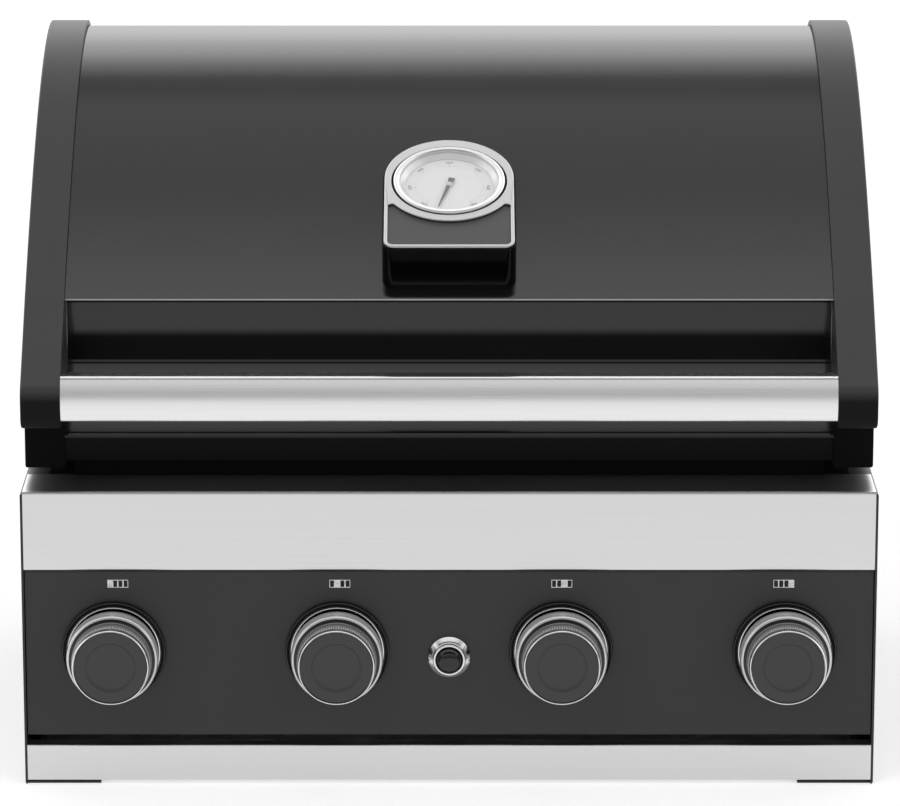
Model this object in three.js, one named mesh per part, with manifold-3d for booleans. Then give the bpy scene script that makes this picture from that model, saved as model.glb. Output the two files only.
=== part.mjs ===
// A built-in gas grill with four burners: an enamelled lid between two cast end caps, a stainless
// front band, a control panel with four knobs and an ignition button, and a slide-out grease tray.
import * as THREE from 'three';
import { mergeVertices } from 'three/addons/utils/BufferGeometryUtils.js';
import Module from 'manifold-3d';

const wasm = await Module();
wasm.setup();

// Driving dimensions in millimetres: X to the right, Y to the back from the face of the front band, Z up
const cabinetWidth = 742;
const cabinetDepth = 500;
const trayFrontLift = 4;
const trayFrontHeight = 32;
const trayFrontGap = 8;
const panelHeight = 150;
const bandHeight = 70.7;
const ledgeDepth = 60;
const lidSpan = 670.2;
const capWidth = 34.4;
const capProud = 5;
const lidSteel = 1.5;
const creaseBack = 78;
const creaseHeight = 416.5;
const ridgeBack = 415;
const ridgeHeight = 600;
const lidBack = 552;
const lidShoulder = 430;
const lidGap = 9.7;
const tailRise = 28;
const hingeReach = 38;
const hingeRise = 27;
const burnerCount = 4;
const knobPitch = 194.5;
const burnerPitch = 163;
const burnerHeight = 121;
const fireboxWidth = 656;
const fireboxBack = 470;
const fireboxFloor = 62;
const steel = 1.5;
const sideSteel = 2;
const bend = 2.5;

// Gap between pieces that touch, travel of a cutting tool past its work, and depth of a weld
const fit = 0.3;
const overrun = 6;
const weld = 0.7;

// Heights and half widths that several pieces share
const panelBottom = trayFrontLift + trayFrontHeight + trayFrontGap;
const panelTop = panelBottom + panelHeight;
const bandBottom = panelTop + fit;
const ledgeHeight = bandBottom + bandHeight;
const sideOuter = cabinetWidth / 2;
const sideInner = sideOuter - sideSteel;
const sideTop = ledgeHeight - steel - fit;
const capInner = lidSpan / 2;
const capOuter = capInner + capWidth;
const legBottom = ledgeHeight + lidGap;
const lidTail = legBottom + tailRise;
const hingeBack = fireboxBack + hingeReach;
const hingeHeight = ledgeHeight + hingeRise;
const fireboxHalf = fireboxWidth / 2;
const fireboxFront = ledgeDepth + fit;
const spread = (pitch) => Array.from({ length: burnerCount }, (_, i) => (i - (burnerCount - 1) / 2) * pitch);
const knobPlaces = spread(knobPitch);
const burnerPlaces = spread(burnerPitch);

// Finishes, as seen on the real grill
const enamel = { color: 0x3a3a3a, roughness: 0.18, metalness: 0.3 };
const satinBlack = { color: 0x4b4b4b, roughness: 0.5, metalness: 0.2 };
const blackSteel = { color: 0x1c1c1c, roughness: 0.45, metalness: 0.3 };
const charcoal = { color: 0x3c3c3c, roughness: 0.45, metalness: 0.3 };
const brushed = { color: 0xc8c8c8, roughness: 0.35, metalness: 1 };
const chrome = { color: 0xdedede, roughness: 0.08, metalness: 1 };
const silver = { color: 0xcfcfcf, roughness: 0.3, metalness: 0.9 };
const castIron = { color: 0x232323, roughness: 0.75, metalness: 0.4 };
const brass = { color: 0xb08d4a, roughness: 0.35, metalness: 1 };
const rubber = { color: 0x424242, roughness: 0.6, metalness: 0 };
const blackGloss = { color: 0x0c0c0c, roughness: 0.1, metalness: 0 };
const paleDial = { color: 0xe6e8e6, roughness: 0.4, metalness: 0 };
const clearGlass = { color: 0xffffff, roughness: 0.02, metalness: 0, transparent: true, opacity: 0.25 };

// Geometry as a closed solid: shared corners merged and the flat slivers at a lathe's axis dropped
function solid(geometry) {
  const plain = geometry.clone();
  plain.deleteAttribute('normal');
  plain.deleteAttribute('uv');
  const merged = mergeVertices(plain);
  const corners = merged.index.array;
  const kept = [];
  for (let i = 0; i < corners.length; i += 3) {
    const [a, b, c] = corners.slice(i, i + 3);
    if (a !== b && b !== c && c !== a) {
      kept.push(a, b, c);
    }
  }
  return new wasm.Manifold(new wasm.Mesh({
    numProp: 3,
    vertProperties: new Float32Array(merged.attributes.position.array),
    triVerts: new Uint32Array(kept),
  }));
}

function geometryOf(body) {
  const { vertProperties, triVerts } = body.getMesh();
  const geometry = new THREE.BufferGeometry();
  geometry.setAttribute('position', new THREE.BufferAttribute(new Float32Array(vertProperties), 3));
  geometry.setIndex(new THREE.BufferAttribute(new Uint32Array(triVerts), 1));
  return geometry;
}

function join(...geometries) {
  return geometryOf(geometries.map(solid).reduce((whole, next) => whole.add(next)));
}

function cut(geometry, ...tools) {
  return geometryOf(tools.map(solid).reduce((rest, tool) => rest.subtract(tool), solid(geometry)));
}

// Corners as [x, y, radius]: each corner that has a radius becomes a round of a few steps
function filleted(corners, steps = 4) {
  return corners.flatMap(([x, y, radius], i) => {
    const corner = new THREE.Vector2(x, y);
    if (!radius) {
      return [corner];
    }
    const before = new THREE.Vector2().fromArray(corners.at(i - 1));
    const after = new THREE.Vector2().fromArray(corners[(i + 1) % corners.length]);
    const back = before.sub(corner).normalize();
    const ahead = after.sub(corner).normalize();
    const reach = radius / Math.tan(Math.acos(back.dot(ahead)) / 2);
    const start = corner.clone().addScaledVector(back, reach);
    const end = corner.clone().addScaledVector(ahead, reach);
    return new THREE.QuadraticBezierCurve(start, corner, end).getPoints(steps);
  });
}

// A line of points moved sideways, to the right of its direction of travel
function shifted(points, distance, closed = false) {
  const rightOf = (from, to) => new THREE.Vector2(to.y - from.y, from.x - to.x).normalize();
  return points.map((point, i) => {
    const before = points[i - 1] ?? (closed ? points.at(-1) : undefined);
    const after = points[i + 1] ?? (closed ? points[0] : undefined);
    const first = rightOf(before ?? point, before ? point : after);
    const second = rightOf(after ? point : before, after ?? point);
    const mitre = first.clone().add(second);
    return point.clone().addScaledVector(mitre, distance / (1 + first.dot(second)));
  });
}

// The section of a folded sheet whose outer face follows a line, with the metal to its right
function folded(line, thickness) {
  return new THREE.Shape([...line, ...shifted(line, thickness).reverse()]);
}

function rectangle(width, height, radius) {
  const [x, y] = [width / 2, height / 2];
  return new THREE.Shape(filleted([[-x, -y, radius], [x, -y, radius], [x, y, radius], [-x, y, radius]], 3));
}

function disc(radius, x = 0, y = 0) {
  return new THREE.Shape().absarc(x, y, radius, 0, 2 * Math.PI);
}

// Extrusions: a (Y, Z) section along X, an (X, Z) section along Y, an (X, Y) section along Z
const alongX = new THREE.Matrix4().makeBasis(
  new THREE.Vector3(0, 1, 0), new THREE.Vector3(0, 0, 1), new THREE.Vector3(1, 0, 0));
const alongY = new THREE.Matrix4().makeBasis(
  new THREE.Vector3(1, 0, 0), new THREE.Vector3(0, 0, 1), new THREE.Vector3(0, -1, 0));

function extrude(shape, from, to, curveSegments = 24) {
  const geometry = new THREE.ExtrudeGeometry(shape, { depth: to - from, bevelEnabled: false, curveSegments });
  return geometry.translate(0, 0, from);
}

function extrudeX(shape, from, to, curveSegments) {
  return extrude(shape, from, to, curveSegments).applyMatrix4(alongX);
}

function extrudeY(shape, front, back, curveSegments) {
  return extrude(shape, -back, -front, curveSegments).applyMatrix4(alongY);
}

function box(left, right, front, back, bottom, top) {
  const geometry = new THREE.BoxGeometry(right - left, back - front, top - bottom);
  return geometry.translate((left + right) / 2, (front + back) / 2, (bottom + top) / 2);
}

function rodX(radius, left, right, y, z, sides = 16) {
  const geometry = new THREE.CylinderGeometry(radius, radius, right - left, sides).rotateZ(Math.PI / 2);
  return geometry.translate((left + right) / 2, y, z);
}

function rodY(radius, front, back, x, z, sides = 16) {
  const geometry = new THREE.CylinderGeometry(radius, radius, back - front, sides);
  return geometry.translate(x, (front + back) / 2, z);
}

function rodZ(radius, bottom, top, x, y, sides = 16) {
  const geometry = new THREE.CylinderGeometry(radius, radius, top - bottom, sides).rotateX(Math.PI / 2);
  return geometry.translate(x, y, (bottom + top) / 2);
}

// A turned piece: (radius, reach) points, anticlockwise round the metal, with the reach along +Z or forward
function turned(profile, sides = 32) {
  const points = profile.map(([radius, reach]) => new THREE.Vector2(radius, reach));
  return new THREE.LatheGeometry(points, sides).rotateX(Math.PI / 2);
}

function turnedForward(profile, sides) {
  return turned(profile, sides).rotateX(Math.PI / 2);
}

function mesh(name, geometry, finish) {
  const piece = new THREE.Mesh(geometry, new THREE.MeshStandardMaterial({ ...finish, flatShading: true }));
  piece.name = name;
  return piece;
}

const grill = new THREE.Group();
const cabinet = new THREE.Group();
const lid = new THREE.Group();
grill.add(cabinet, lid);

// Side panels: black steel channels with a foot flange below, a shelf for the firebox above
// and the head of the bolt that holds the front
const footWidth = 66;
const sideSetback = 1;
const flangeSetback = 4;
const hingePlate = 3;
const shelfInner = fireboxHalf + hingePlate + fit;
const boltRadius = 5;
const boltHead = 1.8;
const boltBack = 30;
const boltHeight = 62;
const sideLine = filleted([
  [shelfInner, sideTop],
  [sideOuter, sideTop, bend],
  [sideOuter, 0, bend],
  [sideOuter - footWidth, 0],
]);
const sidePanel = cut(
  extrudeY(folded(sideLine, sideSteel), sideSetback, cabinetDepth),
  box(shelfInner - footWidth, sideInner, sideSetback - overrun, flangeSetback, -overrun, ledgeHeight),
);
const boltedPanel = join(
  sidePanel,
  rodX(boltRadius, sideOuter - weld, sideOuter + boltHead, boltBack, boltHeight),
);
const rightSide = mesh('side_panel_right', boltedPanel, blackSteel);
const leftSide = mesh('side_panel_left', boltedPanel, blackSteel);
leftSide.scale.x = -1;
cabinet.add(rightSide, leftSide);

// Front band: brushed stainless, folded back over the top as the ledge below the lid
const bandHalf = sideInner - fit;
const bandReturn = 22;
const ledgeLip = 14;
const bandLine = filleted([
  [bandReturn, bandBottom],
  [0, bandBottom, bend],
  [0, ledgeHeight, bend],
  [ledgeDepth, ledgeHeight],
]);
const lipLine = filleted([
  [ledgeDepth - bandReturn, ledgeHeight],
  [ledgeDepth, ledgeHeight, bend],
  [ledgeDepth, ledgeHeight - ledgeLip],
]);
const band = join(
  cut(
    extrudeX(folded(bandLine, steel), -bandHalf, bandHalf),
    box(-fireboxHalf, fireboxHalf, ledgeDepth - bandReturn / 2, ledgeDepth + overrun,
      sideTop, ledgeHeight + overrun),
  ),
  extrudeX(folded(lipLine, steel), -fireboxHalf, fireboxHalf),
);
cabinet.add(mesh('front_band', band, brushed));

// Control panel: charcoal steel pan behind the knobs, a little behind the band
const panelSetback = 3;
const panelSideGap = 0.6;
const panelReturn = 20;
const stemHole = 7;
const ignitionX = 0;
const ignitionHeight = 116;
const ignitionNeck = 12.4;
const panelHalf = bandHalf - panelSideGap;
const panelBack = panelSetback + panelReturn;
const panelLine = filleted([
  [panelBack, panelBottom],
  [panelSetback, panelBottom, bend],
  [panelSetback, panelTop, bend],
  [panelBack, panelTop],
]);
const panelFace = panelSetback + bend;
const panelBody = join(
  extrudeX(folded(panelLine, steel), -panelHalf, panelHalf),
  box(-panelHalf, -panelHalf + steel, panelFace, panelBack, panelBottom + steel / 2, panelTop - steel / 2),
  box(panelHalf - steel, panelHalf, panelFace, panelBack, panelBottom + steel / 2, panelTop - steel / 2),
  box(-panelHalf, panelHalf, panelSetback + steel / 2, panelSetback + steel,
    panelBottom + bend, panelTop - bend),
);
const panelPlate = cut(
  panelBody,
  ...knobPlaces.map((x) => rodY(stemHole, -overrun, panelBack, x, burnerHeight, 16)),
  rodY(ignitionNeck + fit, -overrun, panelBack, ignitionX, ignitionHeight, 16),
);
cabinet.add(mesh('control_panel', panelPlate, charcoal));

// Rear panel: steel pan with two rows of vent slots and the hole for the gas inlet pipe
const rearTop = sideTop - sideSteel - fit;
const rearReturn = 15;
const rearHalf = sideInner - fit;
const ventColumns = 6;
const ventRows = 2;
const ventWidth = 70;
const ventHeight = 7;
const ventPitch = 100;
const ventRowPitch = 24;
const pipeRadius = 9.5;
const pipeX = (fireboxHalf + sideInner) / 2;
const pipeHeight = 86;
const pipeClearance = 2;
const ventMiddle = (panelTop + rearTop) / 2;
const rearLine = filleted([
  [cabinetDepth - rearReturn, rearTop],
  [cabinetDepth, rearTop, bend],
  [cabinetDepth, panelBottom, bend],
  [cabinetDepth - rearReturn, panelBottom],
]);
const vents = [];
for (let row = 0; row < ventRows; row += 1) {
  for (let column = 0; column < ventColumns; column += 1) {
    const x = (column - (ventColumns - 1) / 2) * ventPitch;
    const z = ventMiddle + (row - (ventRows - 1) / 2) * ventRowPitch;
    vents.push(box(x - ventWidth / 2, x + ventWidth / 2, cabinetDepth - rearReturn, cabinetDepth + overrun,
      z - ventHeight / 2, z + ventHeight / 2));
  }
}
const rearPlate = cut(
  extrudeX(folded(rearLine, steel), -rearHalf, rearHalf),
  rodY(pipeRadius + pipeClearance, cabinetDepth - rearReturn, cabinetDepth + overrun, pipeX, pipeHeight, 24),
  ...vents,
);
cabinet.add(mesh('rear_panel', rearPlate, blackSteel));

// Firebox: an open steel tub hung on the side shelves, with ledges for grates and flame tamers,
// holes for the burners, tabs for the warming rack and the two hinge plates
const rimHeight = 20;
const rimFlange = 22;
const floorLip = 28;
const grateLedge = 14;
const grateLedgeHeight = 247;
const tamerLedge = 12;
const tamerLedgeHeight = 163;
const burnerRadius = 12.7;
const burnerTail = 3.5;
const hingeRound = 11;
const hingePin = 4;
const hingeArmFront = 430;
const rackTabDepth = 6;
const rackTabHeight = 270;
const rackWire = 2.5;
const rackFront = 345;
const rackBack = 445;
const fireboxTop = ledgeHeight + rimHeight;
const inside = fireboxHalf - steel;
const insideFront = fireboxFront + steel;
const insideBack = fireboxBack - steel;

function ledge(depth, height) {
  return [
    box(-inside - weld, inside + weld, insideFront - weld, insideFront + depth, height - steel, height),
    box(-inside - weld, inside + weld, insideBack - depth, insideBack + weld, height - steel, height),
  ];
}

const hingeArm = new THREE.Shape();
hingeArm.moveTo(hingeArmFront, ledgeHeight);
hingeArm.lineTo(fireboxBack, ledgeHeight);
hingeArm.lineTo(hingeBack, hingeHeight - hingeRound);
hingeArm.absarc(hingeBack, hingeHeight, hingeRound, -Math.PI / 2, Math.PI / 2);
hingeArm.lineTo(hingeArmFront, fireboxTop);

const hingePlates = [-1, 1].map((side) => {
  const [a, b] = [side * (fireboxHalf - weld), side * (fireboxHalf + hingePlate)];
  return extrudeX(hingeArm, Math.min(a, b), Math.max(a, b), 10);
});
const rimFlanges = [-1, 1].map((side) => {
  const [a, b] = [side * (fireboxHalf - weld), side * (fireboxHalf + rimFlange)];
  return box(Math.min(a, b), Math.max(a, b), fireboxFront, fireboxBack, ledgeHeight - steel, ledgeHeight);
});
const rackTabs = [-1, 1].flatMap((side) => [rackFront, rackBack].map((y) => {
  const [a, b] = [side * (inside - rackTabDepth), side * (inside + weld)];
  return box(Math.min(a, b), Math.max(a, b), y - rackTabDepth, y + rackTabDepth,
    rackTabHeight - steel, rackTabHeight);
}));
const tub = cut(
  box(-fireboxHalf, fireboxHalf, fireboxFront, fireboxBack, fireboxFloor, fireboxTop),
  box(-inside, inside, insideFront, insideBack, fireboxFloor + steel, fireboxTop + overrun),
  box(-inside + floorLip, inside - floorLip, insideFront + floorLip, insideBack - floorLip,
    fireboxFloor - overrun, fireboxFloor + overrun),
);
const firebox = cut(
  join(tub, ...hingePlates, ...rimFlanges, ...rackTabs,
    ...ledge(grateLedge, grateLedgeHeight), ...ledge(tamerLedge, tamerLedgeHeight)),
  ...knobPlaces.map((x) =>
    rodY(burnerRadius + fit, fireboxFront - overrun, insideFront + overrun, x, burnerHeight, 12)),
  ...burnerPlaces.map((x) =>
    rodY(burnerTail + fit, insideBack - overrun, fireboxBack + overrun, x, burnerHeight, 8)),
  rodX(hingePin + fit, -fireboxHalf - overrun, fireboxHalf + overrun, hingeBack, hingeHeight, 12),
);
cabinet.add(mesh('firebox', firebox, blackSteel));

// Hinge pins: shouldered pins through the hinge plates into the bosses of the end caps
const pinHead = 7;
const pinHeadLength = 4;
const pinInset = 6;
const pinEnd = capOuter - pinInset;
const pinShoulder = fireboxHalf - weld - fit;
const hingePinShape = join(
  rodX(pinHead, pinShoulder - pinHeadLength, pinShoulder, hingeBack, hingeHeight, 6),
  rodX(hingePin, pinShoulder - weld, pinEnd, hingeBack, hingeHeight, 12),
);
const rightPin = mesh('hinge_pin_right', hingePinShape, brushed);
const leftPin = mesh('hinge_pin_left', hingePinShape, brushed);
leftPin.scale.x = -1;
cabinet.add(rightPin, leftPin);

// Burners: steel tubes that sweep from the valves to their own spacing, open at the front, with air
// windows, saw-cut flame ports on both shoulders, a tail peg and the spark electrode on its bracket
const burnerWall = 1.2;
const burnerFront = 50;
const burnerEnd = 452;
const sweepFront = 118;
const sweepBack = 250;
const portCount = 3;
const portWidth = 1.6;
const portSpan = 5;
const portDepth = 3;
const portStart = 256;
const airWindow = 7;
const electrodeRadius = 3.5;
const electrodeFront = 262;
const electrodeLength = 34;
const electrodeOffset = 21;
const electrodeTip = 1.2;
const portPitch = (burnerEnd - portStart) / portCount;

class BurnerPath extends THREE.Curve {
  constructor(offset, front, back) {
    super();
    Object.assign(this, { offset, front, back });
  }

  getPoint(t, target = new THREE.Vector3()) {
    const y = THREE.MathUtils.lerp(this.front, this.back, t);
    return target.set(this.offset * (1 - THREE.MathUtils.smoothstep(y, sweepFront, sweepBack)), y, 0);
  }
}

function sweptTube(radius, offset, front, back) {
  const extrudePath = new BurnerPath(offset, front, back);
  return new THREE.ExtrudeGeometry(disc(radius), { steps: 6, curveSegments: 6, extrudePath });
}

const portTools = [];
for (let i = 0; i < portCount; i += 1) {
  for (const side of [-1, 1]) {
    const port = box(-portSpan / 2, portSpan / 2, -portWidth / 2, portWidth / 2,
      burnerRadius - portDepth, burnerRadius + overrun);
    port.rotateY(side * Math.PI / 4);
    port.translate(0, portStart + (i + 0.5) * portPitch, 0);
    portTools.push(port);
  }
}

function burner(offset) {
  const tube = cut(
    sweptTube(burnerRadius, offset, burnerFront, burnerEnd),
    sweptTube(burnerRadius - burnerWall, offset, burnerFront - overrun, burnerEnd - steel),
    box(offset - burnerRadius - overrun, offset + burnerRadius + overrun, burnerFront + steel,
      burnerFront + steel + airWindow / 2, -airWindow / 2, airWindow / 2),
    ...portTools,
  );
  const electrodeBack = electrodeFront + electrodeLength;
  return join(
    tube,
    rodY(burnerTail, burnerEnd - weld, fireboxBack + weld, 0, 0, 8),
    box(burnerRadius - burnerWall, electrodeOffset, electrodeFront, electrodeFront + airWindow,
      -steel / 2, steel / 2),
    rodY(electrodeRadius, electrodeFront - electrodeRadius, electrodeBack, electrodeOffset, 0, 6),
    rodY(electrodeTip, electrodeBack - weld, electrodeBack + airWindow, electrodeOffset, 0, 4),
  );
}

burnerPlaces.forEach((x, i) => {
  const piece = mesh(`burner_${i + 1}`, burner(knobPlaces[i] - x), brushed);
  piece.position.set(x, 0, burnerHeight);
  cabinet.add(piece);
});

// Flame tamers: folded steel tents over the burners, slotted on both slopes
const tamerHalf = 70;
const tamerFoot = 7;
const tamerRidge = 8;
const tamerRise = 30;
const tamerSteel = 1.2;
const tamerSlots = 3;
const slotLength = 70;
const slotHeight = 5;
const tamerFront = insideFront + fit;
const tamerBack = insideBack - fit;
const tamerLine = filleted([
  [-tamerHalf, tamerSteel],
  [-tamerHalf + tamerFoot, tamerSteel],
  [-tamerRidge, tamerRise],
  [tamerRidge, tamerRise],
  [tamerHalf - tamerFoot, tamerSteel],
  [tamerHalf, tamerSteel],
]);
const slotPitch = (tamerBack - tamerFront) / tamerSlots;
const slotTools = Array.from({ length: tamerSlots }, (_, i) => {
  const middle = tamerFront + (i + 0.5) * slotPitch;
  return box(-tamerHalf - overrun, tamerHalf + overrun, middle - slotLength / 2, middle + slotLength / 2,
    tamerRise / 2 - slotHeight / 2, tamerRise / 2 + slotHeight / 2);
});
const tamer = cut(extrudeY(folded(tamerLine, tamerSteel), tamerFront, tamerBack), ...slotTools);
burnerPlaces.forEach((x, i) => {
  const piece = mesh(`flame_tamer_${i + 1}`, tamer, brushed);
  piece.position.set(x, 0, tamerLedgeHeight + fit);
  cabinet.add(piece);
});

// Cooking grates: two iron castings, each a round-cornered frame with tapered bars and cross ribs
const grateHeight = 14;
const grateSideGap = 10;
const grateMiddleGap = 2;
const grateFrameWidth = 9;
const grateCorner = 10;
const grateBars = 8;
const barTop = 6;
const barFoot = 9;
const ribCount = 2;
const ribWidth = 7;
const ribHeight = 8;
const grateEndGap = 1;
const grateWidth = inside - grateSideGap - grateMiddleGap / 2;
const grateDepth = insideBack - insideFront - 2 * grateEndGap;
const grateMiddleY = (insideFront + insideBack) / 2;

const grateFrame = rectangle(grateWidth, grateDepth, grateCorner);
const [holeWidth, holeDepth] = [grateWidth - 2 * grateFrameWidth, grateDepth - 2 * grateFrameWidth];
grateFrame.holes.push(rectangle(holeWidth, holeDepth, grateCorner / 2));
const barSection = new THREE.Shape([
  new THREE.Vector2(-barFoot / 2, 0),
  new THREE.Vector2(barFoot / 2, 0),
  new THREE.Vector2(barTop / 2, grateHeight),
  new THREE.Vector2(-barTop / 2, grateHeight),
]);
const barPitch = (grateWidth - grateFrameWidth) / (grateBars + 1);
const barReach = grateDepth / 2 - grateFrameWidth + weld;
const bars = Array.from({ length: grateBars }, (_, i) => {
  const x = (i - (grateBars - 1) / 2) * barPitch;
  return extrudeY(barSection, -barReach, barReach).translate(x, 0, 0);
});
const ribReach = grateWidth / 2 - grateFrameWidth + weld;
const ribs = Array.from({ length: ribCount }, (_, i) => {
  const y = ((i + 1) / (ribCount + 1) - 0.5) * grateDepth;
  return box(-ribReach, ribReach, y - ribWidth / 2, y + ribWidth / 2, steel, ribHeight);
});
const grate = join(extrude(grateFrame, 0, grateHeight), ...bars, ...ribs);
for (const [name, side] of [['cooking_grate_left', -1], ['cooking_grate_right', 1]]) {
  const piece = mesh(name, grate, castIron);
  piece.position.set(side * (grateWidth + grateMiddleGap) / 2, grateMiddleY, grateLedgeHeight + fit);
  cabinet.add(piece);
}

// Warming rack: chromed wire shelf on four legs that stand on the firebox tabs
const rackHeight = 375;
const rackWires = 5;
const rackMiddle = (rackFront + rackBack) / 2;
const rackLegX = inside - fit - rackWire - steel;
const wirePitch = (rackBack - rackFront) / (rackWires - 1);
const rackEnds = [-1, 1].flatMap((side) => {
  const x = side * rackLegX;
  return [
    rodY(rackWire, rackFront - rackWire, rackBack + rackWire, x, rackHeight, 6),
    rodZ(rackWire, rackTabHeight + fit, rackHeight, x, rackFront, 6),
    rodZ(rackWire, rackTabHeight + fit, rackHeight, x, rackBack, 6),
  ];
});
const rackBars = Array.from({ length: rackWires }, (_, i) =>
  rodX(rackWire, -rackLegX, rackLegX, rackFront + i * wirePitch, rackHeight, 6));
const rackBrace = rodY(rackWire, rackFront, rackBack, 0, rackHeight - rackWire, 6);
cabinet.add(mesh('warming_rack', join(...rackEnds, ...rackBars, rackBrace), chrome));

// Gas manifold: a pipe below the valves that turns back along the right side to the inlet fitting
const manifoldBack = 27;
const pipeBend = 24;
const inletEnd = 530;
const inletHex = 14;
const inletHexLength = 14;
const manifoldLeft = knobPlaces[0] - pipeBend;
const bendPath = new THREE.QuadraticBezierCurve3(
  new THREE.Vector3(pipeX - pipeBend, manifoldBack, pipeHeight),
  new THREE.Vector3(pipeX, manifoldBack, pipeHeight),
  new THREE.Vector3(pipeX, manifoldBack + pipeBend, pipeHeight),
);
const elbow = new THREE.ExtrudeGeometry(
  disc(pipeRadius),
  { steps: 5, curveSegments: 6, extrudePath: bendPath },
);
const manifold = join(
  rodX(pipeRadius, manifoldLeft, pipeX - pipeBend + weld, manifoldBack, pipeHeight, 12),
  elbow,
  rodY(pipeRadius, manifoldBack + pipeBend - weld, inletEnd - inletHexLength / 2, pipeX, pipeHeight, 12),
  rodY(inletHex, inletEnd - inletHexLength, inletEnd, pipeX, pipeHeight, 6),
);
cabinet.add(mesh('gas_manifold', manifold, brushed));

// Valves: brass bodies on the manifold, each with two screw posts to the panel, a stem bore in front
// and its jet in the mouth of a burner
const valveRadius = 11;
const valveFront = 17;
const valveBack = 42;
const valveSaddle = 9;
const jetHex = 8;
const jetHexLength = 5;
const jetRadius = 4.5;
const jetReach = 3;
const stemRadius = 4;
const stemBore = 10;
const postRadius = 2;
const postReach = 12.5;
const postFlange = 3;
const valve = cut(
  join(
    rodY(valveRadius, valveFront, valveBack, 0, 0, 10),
    box(-valveSaddle, valveSaddle, valveFront + steel, valveBack - steel,
      pipeHeight + pipeRadius + fit - burnerHeight, 0),
    box(-postReach - postRadius, postReach + postRadius, valveFront, valveFront + postFlange,
      -valveSaddle / 2, valveSaddle / 2),
    ...[-postReach, postReach].map((x) =>
      rodY(postRadius, panelSetback + steel + fit, valveFront + weld, x, 0, 6)),
    rodY(jetHex, valveBack - weld, valveBack + jetHexLength, 0, 0, 6),
    rodY(jetRadius, valveBack, burnerFront + jetReach, 0, 0, 8),
  ),
  rodY(stemRadius + fit, valveFront - overrun, valveFront + stemBore, 0, 0, 8),
);
knobPlaces.forEach((x, i) => {
  const piece = mesh(`gas_valve_${i + 1}`, valve, brass);
  piece.position.set(x, 0, burnerHeight);
  cabinet.add(piece);
});

// Knob sets: a chrome bezel on the panel, a stem with a flat, its spring washer, the chrome knob
// and its rubber face
const bezelRadius = 45.3;
const bezelBore = 6.5;
const bezelFloor = 2;
const bezelRim = 6;
const bezelLip = 2;
const bezelDish = 11;
const skirtRadius = 40;
const skirtRear = 11;
const skirtFront = 29;
const knobBody = 35;
const knobWall = 3;
const rimRadius = 33.2;
const faceRadius = 31.7;
const knobFront = 52;
const faceFloor = 48.5;
const faceSunk = 0.5;
const recessRadius = 21.3;
const recessDepth = 1.3;
const knobEdge = 1;
const hubRadius = 9;
const hubRear = 14;
const grooveReach = 49;
const stemFront = 38;
const stemFlat = 2.4;
const stemEnd = 5;
const washerRadius = 8;
const washerBack = 13.2;

const bezelProfile = [
  [bezelBore, fit],
  [bezelRadius - bezelLip, fit],
  [bezelRadius, fit + bezelLip],
  [bezelRadius - bezelLip / 2, bezelRim],
  [bezelRadius - bezelDish / 2, bezelFloor + bezelLip / 2],
  [bezelRadius - bezelDish, bezelFloor],
  [bezelBore, bezelFloor],
  [bezelBore, fit],
];
const knobProfile = [
  [0, hubRear],
  [hubRadius, hubRear],
  [hubRadius, faceFloor - knobWall],
  [knobBody - knobWall, faceFloor - knobWall],
  [skirtRadius - knobWall, skirtRear],
  [skirtRadius, skirtRear],
  [skirtRadius, skirtFront - 2 * knobEdge],
  [skirtRadius - knobEdge, skirtFront],
  [knobBody, skirtFront + 2 * knobEdge],
  [knobBody, grooveReach - 2 * knobEdge],
  [rimRadius, grooveReach],
  [rimRadius, knobFront],
  [faceRadius + fit, knobFront],
  [faceRadius + fit, faceFloor],
  [0, faceFloor],
];
const faceFront = knobFront - faceSunk;
const faceProfile = [
  [0, faceFloor + fit],
  [faceRadius, faceFloor + fit],
  [faceRadius, faceFront - knobEdge],
  [faceRadius - knobEdge, faceFront],
  [recessRadius, faceFront],
  [recessRadius - 2 * knobEdge, faceFront - recessDepth],
  [0, faceFront - recessDepth],
];

// A round shaft with a flat along one side
function flattened(radius, flat, front, back) {
  const start = Math.asin(flat / radius);
  return extrudeY(new THREE.Shape().absarc(0, 0, radius, start, Math.PI - start, true), front, back, 5);
}

const panelReach = (reach) => panelSetback - reach;
const knobShell = cut(
  turnedForward(knobProfile, 18),
  flattened(stemRadius + fit, stemFlat + fit, -stemFront - fit, -hubRear + overrun),
);
const stem = join(
  flattened(stemRadius, stemFlat, panelReach(stemFront), panelReach(hubRear) + weld),
  rodY(stemRadius, panelReach(hubRear), valveFront + stemEnd, 0, 0, 8),
);
const washer = cut(
  rodY(washerRadius, washerBack - steel, washerBack, 0, 0, 8),
  rodY(stemRadius + fit, washerBack - overrun, washerBack + overrun, 0, 0, 8),
);
const bezel = turnedForward(bezelProfile, 18);
const knobFace = turnedForward(faceProfile, 18);
knobPlaces.forEach((x, i) => {
  const set = new THREE.Group();
  set.position.set(x, 0, burnerHeight);
  const onPanel = new THREE.Group();
  onPanel.position.y = panelSetback;
  onPanel.add(
    mesh(`knob_bezel_${i + 1}`, bezel, chrome),
    mesh(`knob_shell_${i + 1}`, knobShell, chrome),
    mesh(`knob_face_${i + 1}`, knobFace, rubber),
  );
  set.add(onPanel, mesh(`valve_stem_${i + 1}`, stem, brass), mesh(`stem_washer_${i + 1}`, washer, brushed));
  cabinet.add(set);
});

// Ignition: a chrome ring screwed through the panel into the battery igniter, and the black push button in it
const buttonRadius = 10.8;
const ringRadius = 18.6;
const ringCollar = 13.6;
const ringFlange = 7;
const ringFront = 12.3;
const neckEnd = -6;
const buttonRear = -5;
const buttonShoulder = 11.5;
const buttonDome = 5.4;
const buttonTravel = 4;
const igniterRadius = 15.5;
const igniterFloor = buttonRear - buttonTravel - 2 * fit;
const igniterLength = 38;
const spadeWidth = 6;
const spadeLength = 8;
const ringEdge = 1;

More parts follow.
